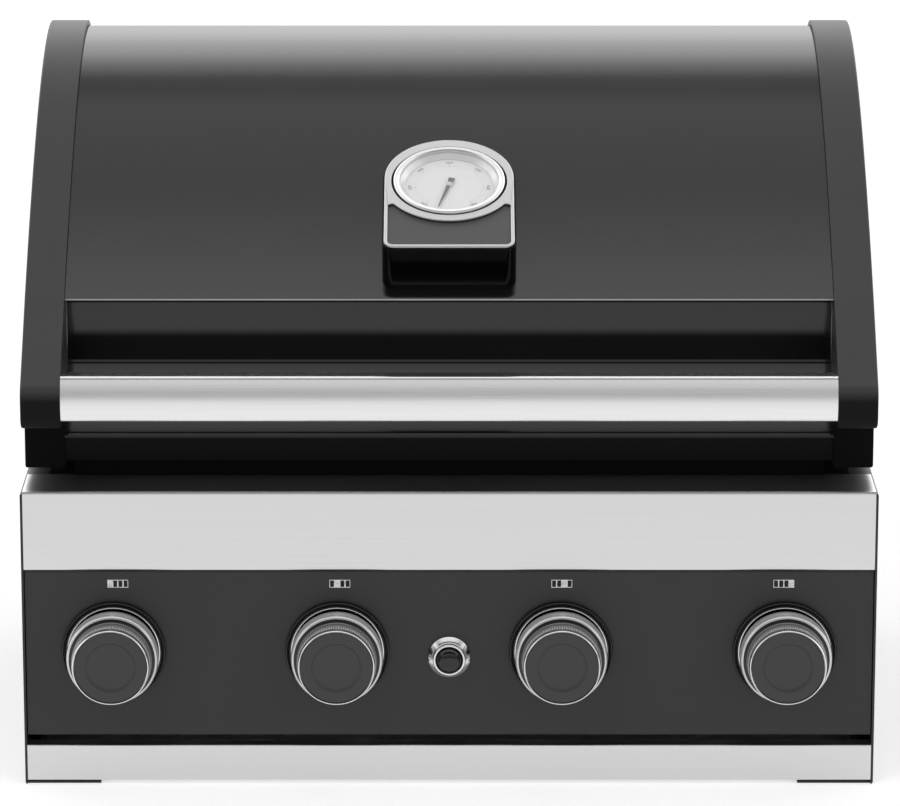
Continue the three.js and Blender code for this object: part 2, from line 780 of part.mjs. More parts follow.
const ringProfile = [
  [buttonRadius + fit, neckEnd],
  [ignitionNeck, neckEnd],
  [ignitionNeck, fit],
  [ringRadius - ringEdge, fit],
  [ringRadius, fit + ringEdge],
  [ringRadius - 2 * ringEdge, ringFlange],
  [ringCollar + ringEdge, ringFlange + ringEdge],
  [ringCollar, ringFlange + 3 * ringEdge],
  [ringCollar - ringEdge, ringFront],
  [buttonRadius + fit, ringFront - ringEdge],
  [buttonRadius + fit, neckEnd],
];
const domeShares = [[1, 0], [0.95, 0.38], [0.76, 0.72], [0.42, 0.93], [0, 1]];
const buttonProfile = [
  [0, buttonRear],
  [buttonRadius, buttonRear],
  ...domeShares.map(([outShare, upShare]) => [
    outShare * buttonRadius,
    buttonShoulder + upShare * buttonDome,
  ]),
];
const igniterProfile = [
  [0, igniterFloor - igniterLength],
  [igniterRadius, igniterFloor - igniterLength],
  [igniterRadius, -steel - fit],
  [ignitionNeck + fit, -steel - fit],
  [ignitionNeck + fit, igniterFloor],
  [0, igniterFloor],
];
const igniterBack = igniterLength - igniterFloor;
const spadeEnd = igniterBack + spadeLength;
const spades = [-spadeWidth, spadeWidth].map((x) =>
  box(x - spadeWidth / 2, x + spadeWidth / 2, igniterBack - weld, spadeEnd, -steel / 2, steel / 2));
const igniter = join(turnedForward(igniterProfile, 16), ...spades);
const ignition = new THREE.Group();
ignition.position.set(ignitionX, panelSetback, ignitionHeight);
ignition.add(
  mesh('ignition_ring', turnedForward(ringProfile, 16), chrome),
  mesh('ignition_button', turnedForward(buttonProfile, 16), blackGloss),
  mesh('igniter_module', igniter, blackSteel),
);
cabinet.add(ignition);

// Grease tray: a deep pan that rests on the foot flanges, with the stainless trim as its front
const traySideGap = 9;
const trayHalf = sideInner - traySideGap;
const trayBack = 465;
const trayTop = 30;
const trayRim = 4;
const trayBevel = 3.6;
const trayReturn = 16;
const trayBottom = sideSteel + fit;
const trayFrontTop = trayFrontLift + trayFrontHeight;
const panFront = steel + fit;
const pan = cut(
  join(
    box(-trayHalf + trayRim, trayHalf - trayRim, panFront, trayBack - trayRim, trayBottom, trayTop),
    box(-trayHalf, trayHalf, panFront + trayReturn, trayBack, trayTop - steel, trayTop),
  ),
  box(-trayHalf + trayRim + steel, trayHalf - trayRim - steel, panFront + steel, trayBack - trayRim - steel,
    trayBottom + steel, trayTop + overrun),
  box(-trayHalf - overrun, trayHalf + overrun, panFront - overrun, panFront + trayReturn,
    trayBottom - overrun, trayFrontLift + steel + fit),
  box(-trayHalf - overrun, trayHalf + overrun, panFront - overrun, panFront + trayReturn,
    trayTop + fit, trayTop + overrun),
);
cabinet.add(mesh('grease_tray', pan, brushed));

const trayFrontLine = filleted([
  [trayReturn, trayFrontLift],
  [0, trayFrontLift, steel],
  [0, trayFrontTop - trayBevel, steel],
  [trayBevel, trayFrontTop, steel],
  [trayReturn, trayFrontTop],
]);
cabinet.add(mesh('tray_front', extrudeX(folded(trayFrontLine, steel), -bandHalf, bandHalf), brushed));

// Lid section: the line from the front lip round the hand cove to the crease, over the ridge and down
// the back
const lipBack = 42;
const lipGap = 16;
const lipHeight = ledgeHeight + lipGap;
const lipRise = 24;
const lipTilt = 3.5;
const lipRound = 9;
const coveBack = 100;
const coveRise = 76;
const coveRound = 5.5;
const coveDrop = 4.5;
const coveBend = 3;
const frontShares = { startBack: 0.35, startUp: 0.578, endBack: 0.288 };
const backShares = { startBack: 0.474, endUp: 0.53 };
const curveSteps = 9;

const crease = new THREE.Vector2(creaseBack, creaseHeight);
const ridge = new THREE.Vector2(ridgeBack, ridgeHeight);
const ridgeRun = ridgeBack - creaseBack;
const ridgeRise = ridgeHeight - creaseHeight;
const frontControl = new THREE.Vector2(
  creaseBack + frontShares.startBack * ridgeRun,
  creaseHeight + frontShares.startUp * ridgeRise,
);
const frontCurve = new THREE.CubicBezierCurve(
  crease,
  frontControl,
  new THREE.Vector2(ridgeBack - frontShares.endBack * ridgeRun, ridgeHeight),
  ridge,
);
const backCurve = new THREE.CubicBezierCurve(
  ridge,
  new THREE.Vector2(ridgeBack + backShares.startBack * (lidBack - ridgeBack), ridgeHeight),
  new THREE.Vector2(lidBack, lidShoulder + backShares.endUp * (ridgeHeight - lidShoulder)),
  new THREE.Vector2(lidBack, lidShoulder),
);
const coveCorners = [
  [lipBack, lipHeight + lipRise, lipRound],
  [coveBack, lipHeight + coveRise, coveRound],
  [coveBack, creaseHeight - coveDrop, coveBend],
];
const coveLine = filleted([[lipBack + lipTilt, lipHeight], ...coveCorners, crease.toArray()]).slice(0, -1);
const roofLine = [
  ...frontCurve.getPoints(curveSteps).slice(0, -1),
  ...backCurve.getPoints(curveSteps - 3),
  new THREE.Vector2(lidBack, lidTail),
];
const lidLine = [...coveLine, ...roofLine];

// Lid sheet: one enamelled sheet, its roof running on under the rims of the end caps
const sheetHalf = capInner - fit;
const tongue = 11;
const tongueStart = 2;
const tongueLine = [...roofLine.slice(0, -1), new THREE.Vector2(lidBack, lidTail + tongue)];
const tongueShape = new THREE.Shape([
  ...tongueLine.slice(tongueStart),
  ...shifted(tongueLine, lidSteel).slice(tongueStart).reverse(),
]);
const roofSkin = extrudeX(tongueShape, -sheetHalf - tongue, sheetHalf + tongue);

// Thermometer: its wedge housing stands on the lid with the dial face turned up to the cook
const wedgeAngle = THREE.MathUtils.degToRad(12.83);
const dialBack = 160.2;
const dialLift = 19.5;
const faceLength = 162;
const faceHalf = 58.5;
const faceCorner = 10;
const housingDepth = 60;
const dialUp = 99;
const pocketRadius = 50.3;
const pocketDepth = 4.5;
const probeRadius = 3.2;
const probeLength = 75;
const probeNut = 8;
const probeNutLength = 6;

function heightOn(line, along) {
  const i = line.findIndex((point) => point.x > along);
  return THREE.MathUtils.mapLinear(along, line[i - 1].x, line[i].x, line[i - 1].y, line[i].y);
}

const roofRise = heightOn(roofLine, dialBack + faceHalf) - heightOn(roofLine, dialBack - faceHalf);
const faceSlope = Math.atan2(roofRise, 2 * faceHalf) - wedgeAngle;
const faceFootBack = dialBack - dialUp * Math.cos(faceSlope);
const faceFootHeight = heightOn(roofLine, dialBack) + dialLift - dialUp * Math.sin(faceSlope);
const toFace = new THREE.Matrix4().makeRotationX(-faceSlope);
toFace.multiply(new THREE.Matrix4().makeTranslation(0, -faceFootBack, -faceFootHeight));
const dialZ = (depth) => -pocketDepth + depth;

// The housing and plate outline in the plane of the face: round on top, straight sides, rounded foot
function faceOutline(inset) {
  const half = faceHalf - inset;
  const archCentre = faceLength - faceHalf;
  const foot = filleted([
    [half, archCentre],
    [half, inset, faceCorner],
    [-half, inset, faceCorner],
    [-half, archCentre],
  ]);
  const outline = new THREE.Shape().absarc(0, archCentre, half, 0, Math.PI, false);
  foot.reverse().slice(1, -1).forEach((point) => outline.lineTo(point.x, point.y));
  return outline;
}

const probeHole = rodZ(probeRadius + fit, -probeLength - overrun, overrun, 0, dialUp, 12);
const lidBlock = extrudeX(
  new THREE.Shape([...shifted(roofLine, -fit), new THREE.Vector2(creaseBack, lidTail)]),
  -faceHalf - overrun,
  faceHalf + overrun,
);
const fromFace = toFace.clone().invert();
const lidSheet = cut(
  join(extrudeX(folded(lidLine, lidSteel), -sheetHalf, sheetHalf), roofSkin),
  probeHole.clone().applyMatrix4(fromFace),
);
lid.add(mesh('lid_sheet', lidSheet, enamel));

const housing = cut(
  extrude(faceOutline(0), -housingDepth, 0, 12),
  lidBlock.applyMatrix4(toFace),
  rodZ(pocketRadius, -pocketDepth, overrun, 0, dialUp, 24),
  probeHole,
);
const thermometer = new THREE.Group();
thermometer.position.set(0, faceFootBack, faceFootHeight);
thermometer.rotation.x = faceSlope;
lid.add(thermometer);
thermometer.add(mesh('thermometer_housing', housing, blackGloss));

// Face plate: silver frame with the round hole for the dial ring and a window over the dark lower field
const plateInset = 1.5;
const plateThickness = 2.5;
const frameWidth = 3.2;
const surround = 8.5;
const windowShoulder = 64;
const windowCorner = 5;
const plateOutline = faceOutline(plateInset);
const windowHalf = faceHalf - plateInset - frameWidth;
const windowFoot = plateInset + frameWidth;
const arcRadius = pocketRadius + surround;
const arcX = windowHalf - windowCorner;
const arcAngle = Math.asin(arcX / arcRadius);
const windowRim = filleted([
  [-arcX, dialUp - arcRadius * Math.cos(arcAngle)],
  [-windowHalf, windowShoulder, windowCorner / 2],
  [-windowHalf, windowFoot, windowCorner],
  [windowHalf, windowFoot, windowCorner],
  [windowHalf, windowShoulder, windowCorner / 2],
  [arcX, dialUp - arcRadius * Math.cos(arcAngle)],
], 3);
const faceWindow = new THREE.Shape(windowRim);
faceWindow.absarc(0, dialUp, arcRadius, arcAngle - Math.PI / 2, -arcAngle - Math.PI / 2, true);
const plate = cut(
  extrude(plateOutline, fit, fit + plateThickness, 12),
  extrude(faceWindow, -overrun, overrun, 8),
  rodZ(pocketRadius, -overrun, overrun, 0, dialUp, 24),
);
thermometer.add(mesh('thermometer_faceplate', plate, silver));

// Dial parts from the pocket floor up: dial disc with its pivot, needle, glass, all held by the bezel ring
const dialRingOuter = 49.5;
const dialRingHeight = 9;
const dialRadius = 40.2;
const dialThickness = 1;
const glassRadius = 43.6;
const glassThickness = 1.2;
const glassSeat = 5.7;
const ringRound = 1.4;
const dialSides = 24;
const pivotRadius = 0.9;
const pivotHeight = 1.9;
const needleLength = 35;
const needleTail = 11;
const needleWidth = 3.4;
const needleTip = 0.8;
const needleThickness = 0.6;
const needleHub = 3.4;
const needleHubHeight = 1.8;
const needleRest = THREE.MathUtils.degToRad(15.6);

const dialRingProfile = [
  [dialRadius + fit, dialZ(fit)],
  [dialRingOuter, dialZ(fit)],
  [dialRingOuter, dialZ(dialRingHeight - ringRound)],
  [dialRingOuter - ringRound, dialZ(dialRingHeight)],
  [glassRadius + fit, dialZ(dialRingHeight - ringRound)],
  [glassRadius + fit, dialZ(glassSeat)],
  [glassRadius - ringRound, dialZ(glassSeat)],
  [dialRadius - ringRound, dialZ(2 * fit + dialThickness)],
  [dialRadius + fit, dialZ(2 * fit + dialThickness)],
  [dialRadius + fit, dialZ(fit)],
];
const dialTop = fit + dialThickness;
const dialProfile = [
  [0, dialZ(fit)],
  [dialRadius, dialZ(fit)],
  [dialRadius, dialZ(dialTop)],
  [pivotRadius, dialZ(dialTop)],
  [pivotRadius, dialZ(dialTop + pivotHeight)],
  [0, dialZ(dialTop + pivotHeight)],
];
const hubBottom = dialTop + 2 * fit;
const hubTop = hubBottom + needleHubHeight;
const needleHubProfile = [
  [pivotRadius + fit, dialZ(hubBottom)],
  [needleHub, dialZ(hubBottom)],
  [needleHub, dialZ(hubTop)],
  [needleHub - pivotRadius, dialZ(hubTop + needleThickness)],
  [0, dialZ(hubTop + needleThickness)],
  [0, dialZ(dialTop + pivotHeight + fit)],
  [pivotRadius + fit, dialZ(dialTop + pivotHeight + fit)],
  [pivotRadius + fit, dialZ(hubBottom)],
];
const pointer = new THREE.Shape([
  new THREE.Vector2(-needleWidth / 2, 0),
  new THREE.Vector2(-needleTip / 2, -needleLength),
  new THREE.Vector2(needleTip / 2, -needleLength),
  new THREE.Vector2(needleWidth / 2, 0),
  new THREE.Vector2(needleWidth, needleTail),
  new THREE.Vector2(-needleWidth, needleTail),
]);
const needle = join(
  cut(
    extrude(pointer, dialZ(hubTop - needleThickness), dialZ(hubTop)),
    rodZ(pivotRadius + fit, dialZ(0), dialZ(dialTop + pivotHeight + fit), 0, 0, 12),
  ),
  turned(needleHubProfile, 12),
);
const glassBottom = glassSeat + fit;
const glass = rodZ(glassRadius, dialZ(glassBottom), dialZ(glassBottom + glassThickness), 0, 0, dialSides);
const dial = new THREE.Group();
dial.position.y = dialUp;
const needlePiece = mesh('thermometer_needle', needle, blackSteel);
needlePiece.rotation.z = -needleRest;
dial.add(
  mesh('thermometer_ring', turned(dialRingProfile, dialSides), silver),
  mesh('thermometer_dial', turned(dialProfile, dialSides), paleDial),
  mesh('thermometer_glass', glass, clearGlass),
  needlePiece,
);
thermometer.add(dial);

// Probe: the thermometer's stem through the housing and the lid, held by a nut under the sheet
const roofOnFace = roofLine.map((point) => {
  const seen = new THREE.Vector3(0, point.x, point.y).applyMatrix4(toFace);
  return new THREE.Vector2(seen.y, seen.z);
});
const [roofBelow, roofAbove] = [-probeNut, probeNut].map((along) => heightOn(roofOnFace, dialUp + along));
const roofTilt = Math.atan2(roofAbove - roofBelow, 2 * probeNut);
const nutTop = Math.min(roofBelow, roofAbove) - lidSteel / Math.cos(roofTilt) - fit;
const probe = join(
  rodZ(probeRadius, -probeLength, -pocketDepth, 0, dialUp, 12),
  rodZ(probeNut, nutTop - probeNutLength, nutTop, 0, dialUp, 6),
);
thermometer.add(mesh('thermometer_probe', probe, brushed));

// End caps: hollow castings that wrap the ends of the lid, with a proud rim, a nose for the handle,
// an inner cheek round the cove and the boss that turns on the hinge pin
const noseFront = 4.6;
const noseHeight = 35;
const noseRound = 15;
const noseUnder = 11;
const legBack = 46;
const legHeight = 43.3;
const legRound = 6;
const tailFlat = 15;
const tailBack = 30;
const capWall = 4.4;
const capPlate = 3;
const cheek = 3;
const cheekLap = 12;
const capEdge = 4;
const bossRadius = 10;

const rimLine = shifted(roofLine, -capProud);
const noseBottom = legBottom + legHeight;
const noseTop = noseBottom + noseHeight;
const capBack = rimLine.at(-1).x;
const capNose = filleted([
  [legBack, legBottom],
  [legBack, noseBottom, legRound],
  [noseFront, noseBottom, noseUnder],
  [noseFront, noseTop, noseRound],
  rimLine[0].toArray(),
], 5);
const capTail = [
  new THREE.Vector2(capBack, legBottom + tailRise),
  new THREE.Vector2(capBack - tailFlat, legBottom + tailFlat),
  new THREE.Vector2(capBack - tailBack, legBottom),
];
const capLine = [...capNose, ...rimLine.slice(1, -1), ...capTail];
const capShape = new THREE.Shape(capLine);
const capBlank = new THREE.ExtrudeGeometry(capShape, {
  depth: capWidth,
  bevelThickness: capEdge,
  bevelSize: capEdge,
  bevelOffset: -capEdge,
  bevelSegments: 2,
});
capBlank.translate(0, 0, capInner - capEdge).applyMatrix4(alongX);
const everywhere = ridgeHeight + cabinetDepth;
const openBelow = new THREE.Vector2(0, -overrun - capWall);
const hollowLine = shifted(capLine, capWall, true).map((point) =>
  (point.y < legBottom + 2 * capWall ? point.clone().add(openBelow) : point));
const cheekLine = coveCorners.map(([y, z]) => new THREE.Vector2(y, z));
const behindCove = [
  ...shifted(cheekLine, cheekLap),
  ...shifted(roofLine, capWall - capProud + fit).slice(1, -1),
  new THREE.Vector2(lidBack + capProud - capWall, lidTail),
  new THREE.Vector2(lidBack + capProud - capWall, legBottom - overrun),
  new THREE.Vector2(lipBack + cheekLap / 2, legBottom - overrun),
];
const capBody = cut(
  capBlank,
  box(-everywhere, capInner, -everywhere, everywhere, -everywhere, everywhere),
  extrudeX(new THREE.Shape(hollowLine), capInner + cheek, capOuter - capPlate),
  extrudeX(new THREE.Shape(behindCove), capInner - overrun, capInner + cheek + overrun),
);
const cap = cut(
  join(
    capBody,
    rodX(bossRadius, capInner + fit, capOuter - capPlate / 2, hingeBack, hingeHeight, 12),
  ),
  rodX(hingePin + fit, capInner - overrun, pinEnd + fit, hingeBack, hingeHeight, 12),
);
const rightCap = mesh('lid_cap_right', cap, satinBlack);
const leftCap = mesh('lid_cap_left', cap, satinBlack);
leftCap.scale.x = -1;
lid.add(rightCap, leftCap);

// Handle: a brushed bar between the noses of the caps, bowed to the front
const handleFront = 5;
const handleTop = 364;
const handleBottom = 323;
const handleBack = 27;
const handleShoulder = 11;
const handleBow = new THREE.CubicBezierCurve(
  new THREE.Vector2(handleFront + handleShoulder / 2, handleBottom),
  new THREE.Vector2(handleFront - handleShoulder / 4, handleBottom + handleShoulder),
  new THREE.Vector2(handleFront - handleShoulder / 6, handleTop - handleShoulder),
  new THREE.Vector2(handleFront + handleShoulder, handleTop),
);
const handleShape = new THREE.Shape([
  ...handleBow.getPoints(10),
  new THREE.Vector2(handleBack, handleTop),
  new THREE.Vector2(handleBack, handleBottom),
]);
lid.add(mesh('handle_bar', extrudeX(handleShape, -sheetHalf, sheetHalf), brushed));

// The origin is on the floor, midway between the knob faces and the back of the lid
const frontmost = panelSetback - knobFront;
grill.position.y = -(frontmost + capBack) / 2;

export default grill;
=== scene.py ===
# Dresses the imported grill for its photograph: detailed pieces, finishes, studio and camera
import math

import bmesh
import bpy
from mathutils import Color, Matrix, Vector
from mathutils.bvhtree import BVHTree
from mathutils.geometry import interpolate_bezier


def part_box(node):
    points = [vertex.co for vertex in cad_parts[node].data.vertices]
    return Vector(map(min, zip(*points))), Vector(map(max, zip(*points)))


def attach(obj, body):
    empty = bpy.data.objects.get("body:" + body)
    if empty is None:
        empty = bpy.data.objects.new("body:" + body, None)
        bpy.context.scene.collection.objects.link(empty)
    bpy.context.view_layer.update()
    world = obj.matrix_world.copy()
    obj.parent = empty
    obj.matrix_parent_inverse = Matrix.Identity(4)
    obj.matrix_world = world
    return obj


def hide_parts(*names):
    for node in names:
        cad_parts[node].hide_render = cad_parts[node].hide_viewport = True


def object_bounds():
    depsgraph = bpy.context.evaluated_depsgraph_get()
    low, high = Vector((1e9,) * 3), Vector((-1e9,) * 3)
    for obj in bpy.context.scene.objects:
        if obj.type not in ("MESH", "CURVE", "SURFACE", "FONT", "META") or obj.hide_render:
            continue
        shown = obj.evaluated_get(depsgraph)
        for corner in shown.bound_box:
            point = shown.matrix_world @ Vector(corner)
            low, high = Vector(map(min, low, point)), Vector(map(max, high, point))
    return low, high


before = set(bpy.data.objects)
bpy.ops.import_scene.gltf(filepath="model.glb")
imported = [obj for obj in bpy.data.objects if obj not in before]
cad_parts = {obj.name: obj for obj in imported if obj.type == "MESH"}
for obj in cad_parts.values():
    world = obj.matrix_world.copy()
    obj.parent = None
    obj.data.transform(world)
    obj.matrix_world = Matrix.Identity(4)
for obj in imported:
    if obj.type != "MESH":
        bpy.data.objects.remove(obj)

cad_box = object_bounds()
mm = 0.001
turn = 2 * math.pi
burner_count = 4
numbers = range(1, burner_count + 1)

# Side panels: two channels bent from steel sheet, with a foot flange that stands on the island and a
# shelf that carries the firebox. They are powder coated black, with the fine orange peel of a baked coat.
coat_tones = (22, 30)
coat_gloss = (0.38, 0.5)
coat_grain = 0.9 * mm
coat_relief = 0.012 * mm
coat_cloud = 60 * mm


class Shade:
    """A socket among a material's nodes. Sums on it add Math nodes, and node() adds any other node."""

    def __init__(self, tree, socket=None):
        self.tree = tree
        self.socket = socket

    def fill(self, made, inputs):
        for name, value in inputs.items():
            if isinstance(value, Shade):
                self.tree.links.new(value.socket, made.inputs[name])
            else:
                made.inputs[name].default_value = value

    def node(self, kind, settings=None, inputs=None, output=0):
        made = self.tree.nodes.new("ShaderNode" + kind)
        for name, value in (settings or {}).items():
            setattr(made, name, value)
        self.fill(made, inputs or {})
        return Shade(self.tree, made.outputs[output])

    def math(self, operation, first, second=0.0):
        return self.node("Math", {"operation": operation}, {0: first, 1: second})

    def __add__(self, other):
        return self.math("ADD", self, other)

    def __sub__(self, other):
        return self.math("SUBTRACT", self, other)

    def __rsub__(self, other):
        return self.math("SUBTRACT", other, self)

    def __mul__(self, other):
        return self.math("MULTIPLY", self, other)

    def ramp(self, low, high):
        """A soft step from 0 at low to 1 at high"""
        inputs = {"Value": self, "From Min": low, "From Max": high}
        return self.node("MapRange", {"interpolation_type": "SMOOTHSTEP"}, inputs)

    def tint(self, first, second):
        """The first colour where this is 0 and the second where it is 1, by the Mix node's colour sockets"""
        return self.node("Mix", {"data_type": "RGBA"}, {0: self, 6: first, 7: second}, 2)

    def spots(self, size, stretch=(1, 1, 1), detail=3.0):
        """Noise on these coordinates with spots of a size, pulled out by a stretch along each axis"""
        share = [1 / (size * pull) for pull in stretch]
        place = self.node("VectorMath", {"operation": "MULTIPLY"}, {0: self, 1: share})
        return place.node("TexNoise", {}, {"Vector": place, "Scale": 1.0, "Detail": detail})

    def relief(self, height):
        """A bump whose height is this times a size in metres"""
        return self.node("Bump", {}, {"Height": self, "Distance": height})


white_level = 255


def grey(level):
    """A neutral colour from its display level, 0 to 255"""
    return (*Color([level / white_level] * 3).from_srgb_to_scene_linear(), 1.0)


def new_finish(name):
    """A material, and the object coordinates that its pattern lies on"""
    material = bpy.data.materials.new(name)
    material.use_nodes = True
    return material, Shade(material.node_tree).node("TexCoord", output="Object")


def paint(material, sockets):
    """Sets or links sockets of a material's shader"""
    shader = material.node_tree.nodes["Principled BSDF"]
    Shade(material.node_tree).fill(shader, sockets)


def between(mask, ends):
    """The first end where the mask is 0 and the second where it is 1"""
    return mask * (ends[1] - ends[0]) + ends[0]


def coating(name, tones, gloss, grain, height, cloud, **sockets):
    """A sprayed or baked coat: fine peel, slow clouds in its gloss and tone"""
    material, place = new_finish(name)
    peel = place.spots(grain)
    clouds = place.spots(cloud)
    paint(material, {
        "Base Color": clouds.tint(grey(tones[0]), grey(tones[1])),
        "Roughness": between(clouds, gloss),
        "Normal": peel.relief(height),
        **sockets,
    })
    return material


def dress(material, *nodes):
    """Gives CAD nodes their finish"""
    for node in nodes:
        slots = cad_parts[node].data.materials
        slots.clear()
        slots.append(material)


powder_coat = coating("powder_coat", coat_tones, coat_gloss, coat_grain, coat_relief, coat_cloud)
dress(powder_coat, "side_panel_left", "side_panel_right")

# Rear panel and firebox: the vented back of the cabinet and the welded tub that hangs between the sides.
# The tub is porcelain coated inside, with a grey bloom of ash and baked grease towards its floor.
ash_tones = (7, 52)
ash_gloss = (0.5, 0.75)
ash_low = 70 * mm
ash_high = 170 * mm
tub_specular = 0.05
ash_grain = 9 * mm

dress(powder_coat, "rear_panel")
tub_finish, place = new_finish("tub_finish")
height = place.node("SeparateXYZ", inputs={0: place}, output="Z")
ash = place.spots(ash_grain) * (1 - height.ramp(ash_low, ash_high))
paint(tub_finish, {
    "Base Color": ash.tint(grey(ash_tones[0]), grey(ash_tones[1])),
    "Roughness": between(ash, ash_gloss),
    "Specular IOR Level": tub_specular,
    "Normal": place.spots(coat_grain).relief(coat_relief),
})
dress(tub_finish, "firebox")

# Hinge pins, the probe and the stem washers: turned steel with a thin zinc plate, ringed by the tool.
zinc_tones = (128, 168)
zinc_gloss = (0.25, 0.42)
tool_line = 0.25 * mm
tool_relief = 0.004 * mm
zinc_cloud = 7 * mm


def plated(name, tones, gloss, stretch, **sockets):
    """Bare or plated metal with fine lines along the stretch"""
    material, place = new_finish(name)
    lines = place.spots(tool_line, stretch)
    clouds = place.spots(zinc_cloud)
    paint(material, {
        "Base Color": (lines * clouds).tint(grey(tones[0]), grey(tones[1])),
        "Roughness": between(lines, gloss),
        "Metallic": 1.0,
        "Normal": lines.relief(tool_relief),
        **sockets,
    })
    return material


even_share = (1, 1, 1)
zinc_plate = plated("zinc_plate", zinc_tones, zinc_gloss, even_share)
washers = [f"stem_washer_{number}" for number in numbers]
dress(zinc_plate, "hinge_pin_left", "hinge_pin_right", "thermometer_probe", *washers)

# Front band: brushed stainless sheet folded back over the top as the ledge below the lid. The brush runs
# from side to side, in long fine lines with a few deeper scores.
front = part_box("front_band")[0].y
brush_tones = (204, 220)
brush_gloss = (0.24, 0.36)
brush_line = 0.35 * mm
brush_length_share = 260
score_line = 1.6 * mm
score_share = 0.35
brush_relief = 0.006 * mm


def brushed(name, tones, gloss):
    """Stainless sheet brushed along X"""
    material, place = new_finish(name)
    along = (brush_length_share, 1, 1)
    lines = place.spots(brush_line, along)
    scores = place.spots(score_line, along)
    marks = lines * (1 - score_share) + scores * score_share
    paint(material, {
        "Base Color": marks.tint(grey(tones[0]), grey(tones[1])),
        "Roughness": between(marks, gloss),
        "Metallic": 1.0,
        "Normal": marks.relief(brush_relief),
    })
    return material


band_steel = brushed("band_steel", brush_tones, brush_gloss)
dress(band_steel, "front_band")

# Control panel: a steel pan behind the knobs in satin charcoal paint, with a printed sign above each knob
# that shows which of the four burners it feeds.
paint_tones = (36, 43)
paint_gloss = (0.34, 0.44)
paint_grain = 0.5 * mm
paint_relief = 0.006 * mm
paint_ior = 1.42
sign_width = 18
sign_height = 7
sign_line = 1.1
sign_rise = 181.8
sign_pitch = 192.6
sign_shift = 1.4
sign_ink = 0.08
panel_back = 3
ink_tones = (236, 246)
blank_tones = (6, 10)
ink_gloss = (0.5, 0.6)

charcoal = coating("charcoal_paint", paint_tones, paint_gloss, paint_grain, paint_relief, coat_cloud,
                   IOR=paint_ior)
dress(charcoal, "control_panel")
in_metres = Matrix.Translation((0, front, 0)) @ Matrix.Scale(mm, 4)
upright = Matrix.Rotation(math.pi / 2, 4, "X")
unit_half = 0.5
smooth_angle = math.radians(32)


def spaced(number, pitch):
    """How far a burner's sign or knob stands from the middle of the panel"""
    return (number - (burner_count + 1) / 2) * pitch


def piece(name, shape, material, body, slot, *nodes):
    """Hangs a shape on a body as an object. Shapes are in mm from the foot of the band's front face."""
    bmesh.ops.transform(shape, matrix=in_metres, verts=shape.verts)
    mesh = bpy.data.meshes.new(name)
    shape.to_mesh(mesh)
    shape.free()
    mesh.shade_smooth()
    mesh.set_sharp_from_angle(angle=smooth_angle)
    mesh.materials.append(material)
    made = bpy.data.objects.new(name, mesh)
    bpy.context.scene.collection.objects.link(made)
    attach(made, body)
    if nodes:
        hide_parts(*nodes)
    return made


def true_shading(made):
    """Lets the large faces of a finished piece set its shading, so that small roundings don't bend it"""
    even = made.modifiers.new("shading", "WEIGHTED_NORMAL")
    even.keep_sharp = True


def closed(shape):
    """Merges what a spin, mirror or extrusion left double and turns every face out"""
    merge = 0.001
    bmesh.ops.remove_doubles(shape, verts=shape.verts, dist=merge)
    bmesh.ops.recalc_face_normals(shape, faces=shape.faces)
    return shape


def pushed(shape, spread, way):
    """Moves the points that an extrusion made, and gives them back"""
    points = [item for item in spread["geom"] if isinstance(item, bmesh.types.BMVert)]
    bmesh.ops.translate(shape, vec=way, verts=points)
    return points


def drawn(shape, edges, way):
    """Draws edges out along a vector"""
    return pushed(shape, bmesh.ops.extrude_edge_only(shape, edges=edges), way)


def thick(shape, way):
    """Draws all the faces out along a vector"""
    spread = bmesh.ops.extrude_face_region(shape, geom=shape.faces[:], use_keep_orig=True)
    pushed(shape, spread, way)
    return shape


def cornered(shape, corner, rounding, steps):
    """Rounds a corner of a wire or a flat face"""
    bmesh.ops.bevel(shape, geom=[corner], offset=rounding, segments=steps, profile=0.5, affect="VERTICES",
                    material=-1)


def wired(shape, points):
    """Joins points in a row with edges"""
    for pair in zip(points, points[1:]):
        shape.edges.new(pair)


sign_finish = coating("sign_ink", ink_tones, ink_gloss, paint_grain, paint_relief, coat_cloud)
blank_finish = coating("sign_blank", blank_tones, ink_gloss, paint_grain, paint_relief, coat_cloud)
for number in numbers:
    sign = bmesh.new()
    bmesh.ops.create_grid(sign, x_segments=burner_count, y_segments=1, size=unit_half)
    cells = sorted(sign.faces, key=lambda face: face.calc_center_median().x)
    bmesh.ops.transform(sign, matrix=Matrix.Diagonal((sign_width, sign_height, 1, 1)), verts=sign.verts)
    bmesh.ops.inset_individual(sign, faces=cells, thickness=sign_line / 2, use_even_offset=True)
    for cell_number, cell in enumerate(cells, start=1):
        cell.material_index = int(cell_number != number)
    bmesh.ops.solidify(sign, geom=sign.faces[:], thickness=sign_ink)
    above = Matrix.Translation((spaced(number, sign_pitch) + sign_shift, panel_back, sign_rise))
    bmesh.ops.transform(sign, matrix=above @ upright, verts=sign.verts)
    made = piece(f"burner_sign_{number}", closed(sign), sign_finish, "cabinet", "panel_coating")
    made.data.materials.append(blank_finish)

# Gas train: a plated steel manifold below the panel with its inlet fitting, and four brass valves whose
# jets stand in the mouths of the burners. The battery igniter sits behind the button.
brass_tones = (150, 190)
brass_gloss = (0.22, 0.4)
brass_dark = (0.29, 0.17, 0.05, 1.0)
brass_bright = (0.62, 0.42, 0.15, 1.0)

brass = plated("cast_brass", brass_tones, brass_gloss, even_share)
brass_place = Shade(brass.node_tree).node("TexCoord", output="Object")
paint(brass, {"Base Color": brass_place.spots(zinc_cloud).tint(brass_dark, brass_bright)})
valves = [f"{kind}_{number}" for number in numbers for kind in ("gas_valve", "valve_stem")]
dress(brass, *valves)
dress(zinc_plate, "gas_manifold")
moulded = coating("moulded_plastic", coat_tones, coat_gloss, coat_grain, coat_relief, coat_cloud)
dress(moulded, "igniter_module")

